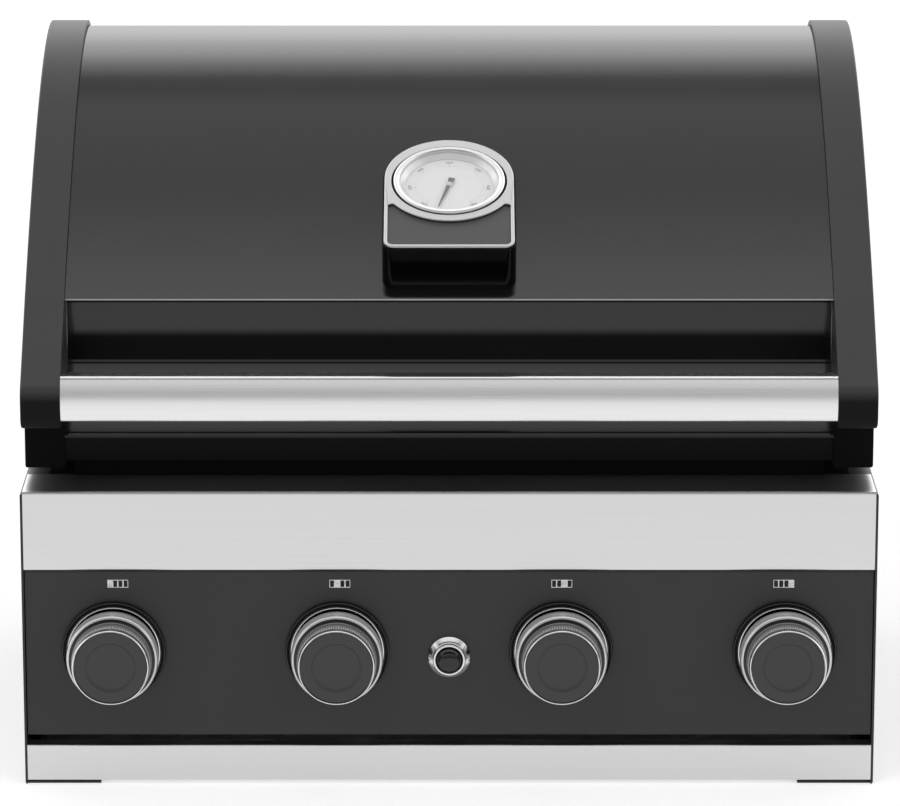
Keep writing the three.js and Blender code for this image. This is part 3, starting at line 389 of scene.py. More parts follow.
# Burners and flame tamers: stainless tubes with saw-cut ports and folded tents over them. Both have the
# straw and brown heat tint that the flame leaves, strongest in the middle of the firebox.
heat_near = 60 * mm
heat_far = 190 * mm
heat_grain = 35 * mm
heat_gloss = (0.28, 0.42)
steel_cool = (0.42, 0.41, 0.39, 1.0)
steel_hot = (0.25, 0.16, 0.09, 1.0)

heated, place = new_finish("heat_tinted_steel")
depth = place.node("SeparateXYZ", inputs={0: place}, output="Y")
middle = depth.math("ABSOLUTE", depth)
heat = (1 - middle.ramp(heat_near, heat_far)) * place.spots(heat_grain)
lines = place.spots(brush_line, (1, brush_length_share, 1))
paint(heated, {
    "Base Color": heat.tint(steel_cool, steel_hot),
    "Roughness": between(lines, heat_gloss),
    "Metallic": 1.0,
    "Normal": lines.relief(brush_relief),
})
dress(heated, *[f"{kind}_{number}" for number in numbers for kind in ("burner", "flame_tamer")])

# Cooking grates and warming rack: two iron castings with a matt enamel that is rough from the sand mould,
# and a shelf of bright chromed wire above the back of them.
iron_tones = (24, 44)
iron_gloss = (0.55, 0.8)
iron_grain = 0.8 * mm
iron_relief = 0.08 * mm
wire_tones = (170, 205)
wire_gloss = (0.08, 0.2)

cast_iron = coating("cast_iron", iron_tones, iron_gloss, iron_grain, iron_relief, heat_grain)
dress(cast_iron, "cooking_grate_left", "cooking_grate_right")
dress(plated("chromed_wire", wire_tones, wire_gloss, even_share), "warming_rack")

# Knob sets: a turned dark bezel on the panel, a chromed die-cast knob with a stepped skirt, a toothed grip
# and a bright rim, and a soft charcoal face with a thumb recess. The knob is pushed onto a flat stem.
knob_height = 121
knob_pitch = 194.5
knob_steps = 96
round_steps = 3
chrome_tones = (214, 232)
chrome_gloss = (0.05, 0.11)
dark_chrome_tones = (62, 76)
# Painted reflection: tones of the black coat that stands in for dark bands in the knob's chrome
painted_reflection_tones = (6, 12)
painted_reflection_gloss = (0.3, 0.4)
satin_metal = 0.5
grip_tones = (120, 140)
grip_gloss = (0.3, 0.4)
tooth_tones = (226, 240)
skirt_tones = (206, 226)
skirt_gloss = (0.2, 0.28)
rubber_tones = (44, 50)
rubber_gloss = (0.42, 0.5)
rubber_grain = 0.3 * mm
rubber_relief = 0.01 * mm

# The bezel's radii, and how far its steps reach out from the panel
bezel_bore = 6.6
bezel_dish = 33.5
bead_inner = 39.1
bead_crown_inner = 39.5
bead_crown_outer = 40.5
bead_outer = 40.7
bezel_valley = 41.5
bezel_crest_inner = 43.2
bezel_foot = 44.2
bezel_crest = 44.4
bezel_radius = 45.2
bezel_rear = 0.4
bezel_low = 1.8
bezel_floor = 2
valley_reach = 3
bezel_high = 4.6
bead_reach = 4.9
crest_inner_reach = 5.4
crest_reach = 5.9

# The knob's radii, and how far its steps reach out from the panel
hub_end = 4.6
bore = 8.9
hub = 9
well = 31.95
well_back = 31.9
rim_inner = 32.2
groove = 32.8
rim_outer = 33.1
rim_radius = 33.6
tooth_foot = 33.7
grip = 34.3
cone_inner = 34.9
skirt_inner = 36.9
cone_middle = 37.4
skirt_rear_radius = 38.6
neck = 38.9
cone_outer = 39.3
rear_step = 39.9
skirt = 40
rear_reach = 11.2
bore_reach = 14.2
step_low = 14.6
step_high = 19.2
neck_low = 21.6
neck_high = 23
step_front = 24.8
cone_low = 28
cone_reach = 29.4
cone_high = 30.9
grip_low = 31.6
grip_high = 38.4
teeth_low = 38.9
web_reach = 45.6
teeth_high = 46.2
groove_low = 46.6
groove_high = 47.4
rim_low = 47.8
floor_reach = 48.6
rim_swell = 49.6
rim_high = 51.6
knob_front = 52

# The face's radii and reaches
face_radius = 31.7
face_crown = 31
recess_rim = 22
recess_floor = 20.1
face_back = 48.85
recess_reach = 49.1
recess_edge = 49.3
face_edge_reach = 50.6
face_reach = 51.1

# Teeth round the front half of the grip
tooth_count = 100
tooth_width = 1.15
tooth_depth = 1.1
tooth_length = 5
tooth_radius = 34.1
tooth_reach = 42.6
tooth_bevel = tooth_width / 3

# Zones with a finish of their own, as the reaches and the radii that they lie between
bead_zone = ((3, 5), (39, 40.8))
# The cone, neck and groove zones carry the black painted dark reflections
cone_zone = ((29.4, 31.3), (34.6, 37.4))
skirt_zone = ((12.4, 29.4), (37.4, 41))
neck_zone = ((21.8, 23.2), (38, 39))
groove_zone = ((46.4, 47.6), (32.5, 33.3))
grip_zone = ((31.3, 46.4), (33, 36))

# Outlines as (radius, reach, rounding) from the back round to the front
bezel_profile = [
    (bezel_bore, bezel_rear, 0), (bezel_foot, bezel_rear, 0.6), (bezel_radius, bezel_low, 0.4),
    (bezel_radius, bezel_high, 0.6), (bezel_crest, crest_reach, 0.5),
    (bezel_crest_inner, crest_inner_reach, 0.8), (bezel_valley, valley_reach, 1),
    (bead_outer, valley_reach, 0.2), (bead_crown_outer, bezel_high, 0.3),
    (bead_crown_inner, bead_reach, 0.3), (bead_inner, valley_reach, 0.2), (bezel_dish, bezel_floor, 1),
    (bezel_bore, bezel_floor, 0), (bezel_bore, bezel_rear, 0),
]
knob_profile = [
    (bore, bore_reach, 0), (bore, web_reach, 0), (well_back, web_reach, 0), (skirt_inner, rear_reach, 0.2),
    (skirt_rear_radius, rear_reach, 0.5), (skirt, step_low, 1.6), (rear_step, step_high, 1.2),
    (neck, neck_low, 0.4), (neck, neck_high, 0.3), (skirt, step_front, 1), (cone_outer, cone_low, 0.9),
    (cone_middle, cone_reach, 0), (cone_inner, cone_high, 1), (grip, grip_low, 0.2), (grip, grip_high, 0.2),
    (tooth_foot, teeth_low, 0.2), (tooth_foot, teeth_high, 0.3), (groove, groove_low, 0.2),
    (groove, groove_high, 0.2), (rim_radius, rim_low, 0.3), (rim_radius, rim_swell, 0.8),
    (rim_outer, rim_high, 0.8), (rim_inner, knob_front, 0.2), (well, rim_high, 0.1), (well, floor_reach, 0),
    (hub, floor_reach, 0), (hub_end, floor_reach, 0),
]
face_profile = [
    (0, face_back, 0), (face_radius, face_back, 0), (face_radius, face_edge_reach, 0.3),
    (face_crown, face_reach, 0.3), (recess_rim, face_reach, 0.5), (recess_floor, recess_edge, 0.6),
    (0, recess_reach, 0),
]


def turned(profile, steps):
    """A piece turned about the line that runs forward from the origin"""
    shape = bmesh.new()
    points = [shape.verts.new((radius, -reach, 0)) for radius, reach, _ in profile]
    wired(shape, points)
    for point, (_, _, rounding) in zip(points, profile):
        if rounding:
            cornered(shape, point, rounding, round_steps)
    bmesh.ops.spin(shape, geom=shape.verts[:] + shape.edges[:], cent=(0, 0, 0), axis=(0, 1, 0), angle=turn,
                   steps=steps, use_merge=True)
    return closed(shape)


def moved(shape, *steps):
    """The shape after moves and turns, the last of them first"""
    matrix = Matrix.Identity(4)
    for step in steps:
        matrix = matrix @ step
    bmesh.ops.transform(shape, matrix=matrix, verts=shape.verts)
    return shape


def zoned(shape, slot, reaches, radii):
    """Puts the faces whose middles lie between two reaches and two radii in a material slot"""
    for face in shape.faces:
        middle = face.calc_center_median()
        if reaches[0] < -middle.y < reaches[1] and radii[0] < math.hypot(middle.x, middle.z) < radii[1]:
            face.material_index = slot


def finished(name, shape, materials, *rest):
    """A truly shaded piece in several materials, the first of them for faces outside all zones"""
    made = piece(name, shape, materials[0], *rest)
    for material in materials[1:]:
        made.data.materials.append(material)
    true_shading(made)


def knurl():
    """A ring of bevelled teeth"""
    teeth = bmesh.new()
    bmesh.ops.create_cube(teeth, size=1)
    bmesh.ops.transform(teeth, matrix=Matrix.Diagonal((tooth_depth, tooth_length, tooth_width, 1)),
                        verts=teeth.verts)
    bmesh.ops.bevel(teeth, geom=teeth.edges[:], offset=tooth_bevel, segments=1, profile=0.5,
                    affect="EDGES", material=-1)
    bmesh.ops.translate(teeth, vec=(tooth_radius - tooth_depth / 2, -tooth_reach, 0), verts=teeth.verts)
    bmesh.ops.spin(teeth, geom=teeth.faces[:], cent=(0, 0, 0), axis=(0, 1, 0), angle=turn,
                   steps=tooth_count, use_duplicate=True)
    return closed(teeth)


chrome = plated("knob_chrome", chrome_tones, chrome_gloss, even_share)
dark_chrome = plated("dark_chrome", dark_chrome_tones, chrome_gloss, even_share)
# Painted reflection: a black coat on the knob's cone, neck and groove, standing in for the dark bands the
# chrome reflects there
painted_dark_reflection = coating("painted_dark_reflection", painted_reflection_tones, painted_reflection_gloss, paint_grain, paint_relief, coat_cloud)
grip_satin = plated("grip_satin", grip_tones, grip_gloss, even_share, Metallic=satin_metal)
skirt_satin = plated("flange_satin", skirt_tones, skirt_gloss, even_share, Metallic=satin_metal)
tooth_satin = plated("tooth_satin", tooth_tones, grip_gloss, even_share, Metallic=satin_metal)
soft_face = coating("soft_face", rubber_tones, rubber_gloss, rubber_grain, rubber_relief, coat_cloud)
for number in numbers:
    on_panel = Matrix.Translation((spaced(number, knob_pitch), panel_back, knob_height))
    body = f"knob_{number}"
    bezel = turned(bezel_profile, knob_steps)
    zoned(bezel, 1, *bead_zone)
    finished(f"bezel_ring_{number}", moved(bezel, on_panel), (dark_chrome, chrome), "cabinet", "knob_chrome",
             f"knob_bezel_{number}")
    knob = turned(knob_profile, knob_steps)
    for slot, zone in ((1, cone_zone), (3, skirt_zone), (1, neck_zone), (1, groove_zone), (2, grip_zone)):
        zoned(knob, slot, *zone)
    finished(f"{body}_shell", moved(knob, on_panel), (chrome, painted_dark_reflection, grip_satin, skirt_satin), body,
             "knob_chrome", f"knob_shell_{number}")
    face = moved(turned(face_profile, knob_steps), on_panel)
    true_shading(piece(f"{body}_face", face, soft_face, body, "knob_rubber", f"knob_face_{number}"))
    piece(f"{body}_teeth", moved(knurl(), on_panel), tooth_satin, body, "knob_chrome")

# Ignition: a chromed ring screwed through the panel into the igniter, and the glossy black push button
# that slides in it. Outlines are (radius, reach, rounding) again.
ignition_height = 116
button_tones = (6, 10)
button_gloss = (0.08, 0.14)
collar_bore = 11.15
collar_thread = 12.35
lip_inner = 12.2
lip_crown = 13.4
lip_radius = 14.3
bead_foot = 15
collar_rear = 17.9
collar_front = 18.4
collar_radius = 18.6
thread_end = -5.8
collar_seat = 0.4
collar_low = 1.6
collar_high = 2.4
bead_slope = 5.5
lip_low = 5.9
lip_bore = 11
lip_side = 11.4
lip_top_inner = 12.2
lip_front = 12.3
button_radius = 10.7
button_shoulder = 9.6
button_dome = 7.2
button_crown = 3.4
button_rear = -4.9
button_side = 11.6
shoulder_reach = 13.8
dome_reach = 15.7
crown_reach = 16.7
button_front = 16.85

ring_profile = [
    (collar_bore, thread_end, 0), (collar_thread, thread_end, 0), (collar_thread, collar_seat, 0),
    (collar_rear, collar_seat, 0.3), (collar_radius, collar_low, 0.4), (collar_front, collar_high, 0.3),
    (bead_foot, bead_slope, 0.4), (lip_radius, lip_low, 0.2), (lip_radius, lip_side, 0.8),
    (lip_crown, lip_front, 0.5), (lip_inner, lip_top_inner, 0.3), (collar_bore, lip_bore, 0.2),
    (collar_bore, thread_end, 0),
]
button_profile = [
    (0, button_rear, 0), (button_radius, button_rear, 0), (button_radius, button_side, 1.2),
    (button_shoulder, shoulder_reach, 1.6), (button_dome, dome_reach, 1.8), (button_crown, crown_reach, 1.2),
    (0, button_front, 0),
]

on_panel = Matrix.Translation((0, panel_back, ignition_height))
true_shading(piece("ignition_collar", moved(turned(ring_profile, knob_steps), on_panel), chrome, "cabinet",
                   "knob_chrome", "ignition_ring"))
button_plastic = coating("button_plastic", button_tones, button_gloss, coat_grain, paint_relief, coat_cloud)
true_shading(piece("push_button", moved(turned(button_profile, knob_steps), on_panel), button_plastic,
                   "ignition", "button_plastic", "ignition_button"))

# Grease tray: a deep pan of galvanised sheet on the foot flanges, and the brushed trim that is its front
# and hides it below the panel.
spangle = 9 * mm
spangle_tones = (120, 160)
spangle_gloss = (0.3, 0.45)
trim_round = 0.9
trim_steel = 1.2


def walled(made, thickness):
    """Gives a finished sheet its thickness, on the side away from its outer faces"""
    wall = made.modifiers.new("wall", "SOLIDIFY")
    wall.thickness = thickness * mm
    wall.offset = -1
    wall.use_even_offset = True


galvanised, place = new_finish("galvanised_sheet")
cells = place.node("TexVoronoi", {}, {"Vector": place, "Scale": 1 / spangle}, "Color")
flake = cells.node("SeparateColor", inputs={0: cells})
paint(galvanised, {
    "Base Color": flake.tint(grey(spangle_tones[0]), grey(spangle_tones[1])),
    "Roughness": between(flake, spangle_gloss),
    "Metallic": 1.0,
    "Normal": place.spots(spangle).relief(brush_relief),
})
dress(galvanised, "grease_tray")

low, high = (in_metres.inverted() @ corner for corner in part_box("tray_front"))
trim = bmesh.new()
points = [trim.verts.new((low.x, back, up)) for back, up in
          ((high.y, low.z), (low.y, low.z), (low.y, high.z), (high.y, high.z))]
wired(trim, points)
for corner in points[1:3]:
    cornered(trim, corner, trim_round, round_steps)
drawn(trim, trim.edges[:], (high.x - low.x, 0, 0))
made = piece("trim_strip", closed(trim), band_steel, "tray", "band_steel", "tray_front")
walled(made, trim_steel)
true_shading(made)

# Lid: one sheet of steel folded into the lip, the hand cove, a sharp crease, the long roof and the back,
# then enamelled in glossy black. Its roof runs on a little way under the rims of the end caps.
lid_half = 334.8
lid_steel = 1.5
tongue = 10.5
tongue_back = 130
lip = Vector((0, 51.5, 279.8))
lip_top = Vector((0, 50, 303))
lip_round = 4
cove_foot = Vector((0, 100, 357))
cove_head = Vector((0, 100, 412))
cove_round = 2.4
crease = Vector((0, 78, 416.5))
crease_round = 1.8
fold_steps = 5
ridge = Vector((0, 415, 600))
shoulder = Vector((0, 552, 430))
tail = Vector((0, 552, 302.7))
long_run = 14
run_cuts = 6
roof_steps = 56
back_steps = 32
rise_shares = (0.35, 0.578)
crown_shares = (0.712, 1)
fall_shares = (0.474, 0)
shoulder_shares = (1, 0.47)
enamel_tones = (16, 21)
enamel_gloss = (0.08, 0.12)
enamel_ior = 1.5
# Painted shade on the lip: a near-black, dull, weakly reflecting coat for the lip's faces under the handle;
# the cap legs share its weak reflection
lip_shade_tones = (7, 12)
lip_shade_gloss = (0.3, 0.4)
painted_shade_ior = 1.16
# Painted highlight: pale grey tones for the crease's fold, standing in for its bright edge highlight
crease_highlight_tones = (150, 175)
enamel_wave = 14 * mm
enamel_relief = 0.02 * mm


def swung(start, end, start_shares, end_shares, steps):
    """A curve whose handles lie at shares of the way back and up from its start to its end"""
    way = end - start
    handles = [start + Vector((0, back * way.y, up * way.z)) for back, up in (start_shares, end_shares)]
    return interpolate_bezier(start, *handles, end, steps)


roof_front = swung(crease, ridge, rise_shares, crown_shares, roof_steps)
roof_back = swung(ridge, shoulder, fall_shares, shoulder_shares, back_steps)
roof_line = roof_front[1:] + roof_back[1:] + [tail]

lid_sheet = bmesh.new()
points = [lid_sheet.verts.new(place) for place in [lip, lip_top, cove_foot, cove_head, crease] + roof_line]
wired(lid_sheet, points)
for corner, rounding in zip(points[1:5], (lip_round, cove_round, cove_round, crease_round)):
    cornered(lid_sheet, corner, rounding, fold_steps)
long_runs = [edge for edge in lid_sheet.edges if edge.calc_length() > long_run]
bmesh.ops.subdivide_edges(lid_sheet, edges=long_runs, cuts=run_cuts)
bmesh.ops.translate(lid_sheet, vec=(-lid_half, 0, 0), verts=lid_sheet.verts)
drawn(lid_sheet, lid_sheet.edges[:], (2 * lid_half, 0, 0))
for side in (-1, 1):
    rim = [edge for edge in lid_sheet.edges
           if edge.is_boundary and all(point.co.x * side > 0 and point.co.y > tongue_back
                                       and (point.co.z > crease.z or point.co.y > ridge.y)
                                       for point in edge.verts)]
    drawn(lid_sheet, rim, (side * tongue, 0, 0))
closed(lid_sheet)
rims = [edge.index for edge in lid_sheet.edges if edge.is_boundary]
lid_surface = BVHTree.FromBMesh(lid_sheet)
enamel = coating("lid_enamel", enamel_tones, enamel_gloss, enamel_wave, enamel_relief, coat_cloud,
                 IOR=enamel_ior)
# Painted highlight: a pale grey coat on the crease's rounded fold
crease_painted_highlight = coating("crease_painted_highlight_coat", crease_highlight_tones, enamel_gloss, enamel_wave, enamel_relief, coat_cloud)
# Painted shade: the lip's near-black, weakly reflecting coat
lip_painted_shade = coating("lip_painted_shade_coat", lip_shade_tones, lip_shade_gloss, enamel_wave, enamel_relief, coat_cloud, IOR=painted_shade_ior)
for face in lid_sheet.faces:
    middle = face.calc_center_median()
    if middle.z < lip_top.z - lip_round / 2 and middle.y < tongue_back:
        # The lip's faces take the painted-shade coat
        face.material_index = 1
    elif middle.y < crease.y + crease_round and middle.z > crease.z - crease_round / 4:
        # The crease's fold takes the painted-highlight coat
        face.material_index = 2
lid = piece("lid_shell", lid_sheet, enamel, "lid", "enamel", "lid_sheet")
for index in rims:
    lid.data.edges[index].use_edge_sharp = True
lid.data.materials.append(lip_painted_shade)
lid.data.materials.append(crease_painted_highlight)
walled(lid, lid_steel)

# End caps: hollow die castings with a proud rounded rim that wraps the ends of the lid, a nose that carries
# the handle, a cheek round the cove and a boss on the hinge pin. They have a satin black coat.
cap_inner = 335.1
cap_width = 34.4
cap_proud = 5
cap_wall = 4.4
cap_plate = 3
cap_edge = 4
facing_share = 0.9
cheek_lap = 8
leg_bottom = 274.7
leg_back = 46
foot_width = 2
nose_bottom = 318
nose_front = 4.6
nose_top = 353
leg_round = 6
nose_under = 11
nose_round = 6.4
tail_cut = Vector((0, 542, 289.7))
tail_end = Vector((0, 527, 274.7))
boss = Vector((0, 508, 292))
boss_radius = 10
boss_sides = 32
casting_tones = (62, 68)
# Near-black tone of the painted shade under the cap noses and on their legs
shade_tones = (7, 12)
shade_gloss = 0.7
casting_specular = 0.18
painted_shade_full = 342 * mm
painted_shade_end = 358 * mm
painted_shade_deep = 80 * mm
casting_gloss = (0.36, 0.46)
casting_grain = 0.7 * mm
casting_relief = 0.015 * mm


def beside(line, distance):
    """A line moved sideways by a distance, to the left of its travel"""
    runs = [after - before for before, after in zip([line[0], *line], [*line[1:], line[-1]])]
    return [place + Vector((0, -run.z, run.y)).normalized() * distance for place, run in zip(line, runs)]


rim_line = beside([crease] + roof_line, cap_proud)
behind_cove = beside([lip, lip_top, cove_foot, cove_head], -cheek_lap)[1:]


def cap(side):
    """An end cap, for the left end mirrored"""
    shape = bmesh.new()
    foot = shape.verts.new((0, leg_back, leg_bottom))
    corners = [shape.verts.new((0, back, up)) for back, up in
               [(leg_back, nose_bottom), (nose_front, nose_bottom), (nose_front, nose_top)]]
    rim = [shape.verts.new(place) for place in rim_line]
    ends = [shape.verts.new(place) for place in (tail_cut, tail_end)]
    split_foot = shape.verts.new((0, leg_back + foot_width, leg_bottom))
    shape.faces.new([foot, *corners, *rim, *ends, split_foot])
    split_head = next(point for point in rim if point.co.y > behind_cove[-1].y)
    bmesh.ops.translate(shape, vec=(cap_inner, 0, 0), verts=shape.verts)
    for corner, rounding in zip(corners, (leg_round, nose_under, nose_round)):
        cornered(shape, corner, rounding, fold_steps)
    face, = shape.faces
    spread = bmesh.ops.extrude_face_region(shape, geom=[face], use_keep_orig=True)
    outer_edges = [item for item in spread["geom"] if isinstance(item, bmesh.types.BMEdge)]
    pushed(shape, spread, (cap_width, 0, 0))
    shape.faces.ensure_lookup_table()
    path = [place + Vector((cap_inner, 0, 0)) for place in behind_cove]
    bmesh.utils.face_split(face, split_foot, split_head, coords=path)
    open_back = next(part for part in split_foot.link_faces if part in split_head.link_faces
                     and part.calc_center_median().y > cove_foot.y and abs(part.normal.x) > facing_share)
    bmesh.ops.inset_region(shape, faces=[open_back], thickness=cap_wall, use_even_offset=True)
    sunk = bmesh.ops.extrude_discrete_faces(shape, faces=[open_back])["faces"]
    bmesh.ops.translate(shape, vec=(cap_width - cap_plate, 0, 0), verts=sunk[0].verts[:])
    bmesh.ops.bevel(shape, geom=outer_edges, offset=cap_edge, segments=fold_steps, profile=0.5,
                    affect="EDGES", material=-1, clamp_overlap=True)
    hub = bmesh.ops.create_cone(shape, cap_ends=True, segments=boss_sides, radius1=boss_radius,
                                radius2=boss_radius, depth=cap_width - cap_plate)["verts"]
    along = Matrix.Rotation(math.pi / 2, 4, "Y")
    middle = boss + Vector((cap_inner + (cap_width - cap_plate) / 2, 0, 0))
    bmesh.ops.transform(shape, matrix=Matrix.Translation(middle) @ along, verts=hub)
    return moved(shape, Matrix.Diagonal((side, 1, 1, 1)))


casting = coating("cap_coating", casting_tones, casting_gloss, casting_grain, casting_relief, coat_cloud,
                  **{"Specular IOR Level": casting_specular})
place = Shade(casting.node_tree).node("TexCoord", output="Object")
height = place.node("SeparateXYZ", inputs={0: place}, output="Z")
depth = place.node("SeparateXYZ", inputs={0: place}, output="Y")
# Painted shade: low on the cap and near its front, under the nose, the base colour fades to the near-black
# shade tone and the coat turns rougher
nose_painted_shade = (1 - height.ramp(painted_shade_full, painted_shade_end)) * (1 - depth.ramp(front + leg_back * mm, front + painted_shade_deep))
# The cap's own tone where no shade is painted
unshaded_tone = place.spots(coat_cloud).tint(grey(casting_tones[0]), grey(casting_tones[1]))
paint(casting, {
    "Base Color": nose_painted_shade.tint(unshaded_tone, grey(shade_tones[0])),
    "Roughness": between(nose_painted_shade, (casting_gloss[0], shade_gloss)),
})
# Painted shade: the legs under the nose get a near-black, rough, weakly reflecting coat in the shade tone,
# standing in for the shade that falls there
leg_painted_shade = coating("leg_painted_shade_coat", shade_tones, (shade_gloss, shade_gloss), casting_grain, casting_relief,
                   coat_cloud, IOR=painted_shade_ior)
for name, side in (("left", -1), ("right", 1)):
    shape = closed(cap(side))
    # Leg faces below the nose take the painted-shade coat
    for face in shape.faces:
        middle = face.calc_center_median()
        if middle.z < nose_bottom and middle.y < leg_back + leg_round:
            face.material_index = 1
    finished(f"end_cap_{name}", shape, (casting, leg_painted_shade), "lid", "cap_coating", f"lid_cap_{name}")

# Handle: a bar of brushed stainless between the noses of the caps, bowed to the front, with soft edges.
handle_low = Vector((0, 8.5, 325))
handle_high = Vector((0, 11.2, 364.5))
handle_back = 27
bow_low = Vector((0, 3.6, 336))
bow_high = Vector((0, 4.6, 350))
bow_steps = 16
handle_edge = 2
handle_tones = (214, 236)
handle_gloss = (0.18, 0.3)

handle = bmesh.new()
bow = interpolate_bezier(handle_low, bow_low, bow_high, handle_high, bow_steps)
outline = [*bow, Vector((0, handle_back, handle_high.z)), Vector((0, handle_back, handle_low.z))]
points = [handle.verts.new(place) for place in outline]
handle.faces.new(points)
for point in (points[0], points[bow_steps - 1]):
    cornered(handle, point, handle_edge, fold_steps)
bmesh.ops.translate(handle, vec=(-lid_half, 0, 0), verts=handle.verts)
thick(handle, (2 * lid_half, 0, 0))
handle_steel = brushed("handle_steel", handle_tones, handle_gloss)
true_shading(piece("handle_grip", closed(handle), handle_steel, "lid", "handle_steel", "handle_bar"))

# Thermometer housing: a wedge of glossy black plastic that turns the dial up to the cook. It stands on the
# roof of the lid, with rounded corners and a round pocket for the dial. Its face is drawn flat, then tilted.
face_half = 58.5
face_length = 162
face_corner = 10
face_edge = 1.2
corner_steps = 20
arch_share = 0.9999
fill_merge = 0.05
dial_up = 99
face_foot = Vector((0, 70.03, 463.47))
face_slope = math.radians(24.383)
pocket_radius = 51
pocket_depth = 4.5
pocket_steps = 96
gloss_tones = (3, 6)
housing_ior = 1.25
gloss_gloss = (0.06, 0.12)
foot_gap = 0.25
from_face = Matrix.Translation(face_foot) @ Matrix.Rotation(face_slope, 4, "X")


def face_loop(shape, inset, depth):
    """The outline of the thermometer's face as a closed wire: round on top, straight sides, rounded foot"""
    half = face_half - inset
    high = face_length - inset
    places = ((-half, inset), (half, inset), (half, high), (-half, high))
    corners = [shape.verts.new((x, y, depth)) for x, y in places]
    wired(shape, corners + corners[:1])
    for corner, rounding in zip(corners, (face_corner - inset,) * 2 + (half * arch_share,) * 2):
        cornered(shape, corner, rounding, corner_steps)


def pocket_loop(shape, depth):
    """The edge of the round hole that the dial sits in"""
    at = Matrix.Translation((0, dial_up, depth))
    bmesh.ops.create_circle(shape, segments=pocket_steps, radius=pocket_radius, matrix=at)


def filled(shape):
    """Fills the space between closed wires with faces"""
    bmesh.ops.remove_doubles(shape, verts=shape.verts, dist=fill_merge)
    bmesh.ops.triangle_fill(shape, use_beauty=True, edges=shape.edges[:], normal=(0, 0, 1))
    return shape


def edge_round(made, size):
    """Rounds the sharp edges of a finished piece"""
    rounding = made.modifiers.new("edges", "BEVEL")
    rounding.width = size * mm
    rounding.segments = round_steps
    rounding.limit_method = "ANGLE"
    rounding.angle_limit = smooth_angle


def in_pocket(edge):
    """Whether an edge lies on the round hole"""
    return all(abs(math.hypot(point.co.x, point.co.y - dial_up) - pocket_radius) < face_edge / 2
               for point in edge.verts)


housing = bmesh.new()
face_loop(housing, 0, 0)
pocket_loop(housing, 0)
filled(housing)
border = [edge for edge in housing.edges if edge.is_boundary]
pocket = [edge for edge in border if in_pocket(edge)]
walls = [edge for edge in border if edge not in pocket]
floor_rim = drawn(housing, pocket, (0, 0, -pocket_depth))
bmesh.ops.contextual_create(housing, geom=floor_rim)
foot_rim = drawn(housing, walls, (0, 0, -pocket_depth))
moved(housing, from_face)
down = from_face.to_3x3() @ Vector((0, 0, -1))
for point in foot_rim:
    start = point.co - down * face_length
    landed = lid_surface.ray_cast(start, down)[0]
    point.co = landed - down * foot_gap
bmesh.ops.contextual_create(housing, geom=foot_rim)
gloss_black = coating("housing_gloss", gloss_tones, gloss_gloss, enamel_wave, paint_relief, coat_cloud,
                       IOR=housing_ior)
made = piece("gauge_housing", closed(housing), gloss_black, "lid", "housing_plastic", "thermometer_housing")
edge_round(made, face_edge)

# Thermometer face plate: a silver frame pressed from sheet, with a round hole for the dial ring and a
# window over a plain dark field.
plate_inset = 1.5
plate_lift = 0.35
plate_thickness = 2.4
plate_edge = 0.7
frame_width = 3.2
surround = 8.5
window_shoulder = 64
window_corner = 5
shoulder_round = 2.5
window_steps = 24
silver_tones = (186, 197)
silver_gloss = (0.3, 0.4)
field_tones = (47, 54)
field_gloss = (0.35, 0.45)
field_lift = 0.3

window_half = face_half - plate_inset - frame_width
arc_radius = pocket_radius + surround
arc_x = window_half - window_corner
arc_turn = math.asin(arc_x / arc_radius)


def window_loop(shape, depth):
    """The window's outline: the foot's corners, two shoulders and an arc round the dial"""
    low = plate_inset + frame_width
    ends = [(side * window_half, up) for side, up in
            ((-1, window_shoulder), (-1, low), (1, low), (1, window_shoulder))]
    turns = [arc_turn * (1 - 2 * step / window_steps) for step in range(window_steps + 1)]
    arc = [(arc_radius * math.sin(angle), dial_up - arc_radius * math.cos(angle)) for angle in turns]
    points = [shape.verts.new((x, y, depth)) for x, y in ends + arc]
    wired(shape, points + points[:1])
    for point, rounding in zip(points, (shoulder_round, window_corner, window_corner, shoulder_round)):
        cornered(shape, point, rounding, fold_steps)


plate = bmesh.new()
face_loop(plate, plate_inset, plate_lift)
window_loop(plate, plate_lift)
pocket_loop(plate, plate_lift)
thick(filled(plate), (0, 0, plate_thickness))
silver = plated("plate_silver", silver_tones, silver_gloss, even_share)
made = piece("gauge_plate", closed(moved(plate, from_face)), silver, "lid", "plate_silver",
             "thermometer_faceplate")
edge_round(made, plate_edge)
field = bmesh.new()
window_loop(field, 0)
thick(filled(field), (0, 0, field_lift))
field_finish = coating("field_finish", field_tones, field_gloss, paint_grain, paint_relief, coat_cloud)
piece("gauge_field", closed(moved(field, from_face)), field_finish, "lid", "housing_plastic")

# Dial set: a bright turned ring that holds the glass over a pale printed dial, and the black needle that
# its bimetal coil turns. The dial is marked with plain numbers and a ring of ticks.
dial_steps = 120
dial_radius = 40
dial_bottom = 0.35
dial_top = 1.3
dial_arris = 0.1
glass_radius = 43.4
glass_bottom = 6.05
glass_top = 7.15
glass_arris = 0.2
ring_bore = 38.8
ring_foot_bore = 40.7
ring_slope = 42.4
ring_lip = 44.1
ring_crest_inner = 45.6
ring_crest = 48.4
ring_radius = 49.4
ring_bottom = 0.4
ring_step = 1.7
ring_seat = 5.75
ring_side = 7.4
ring_inner_top = 8.7
ring_top = 8.9
ring_profile = [
    (ring_foot_bore, ring_bottom, 0), (ring_radius, ring_bottom, 0), (ring_radius, ring_side, 0.6),
    (ring_crest, ring_top, 0.8), (ring_crest_inner, ring_inner_top, 0.6), (ring_lip, ring_side, 0.3),
    (ring_lip, ring_seat, 0), (ring_slope, ring_seat, 0), (ring_bore, ring_step, 0.3),
    (ring_foot_bore, ring_step, 0), (ring_foot_bore, ring_bottom, 0),
]
ink_height = 0.05
number_size = 4.6
number_radius = 34.6
number_start = 100
number_step = 100
number_count = 7
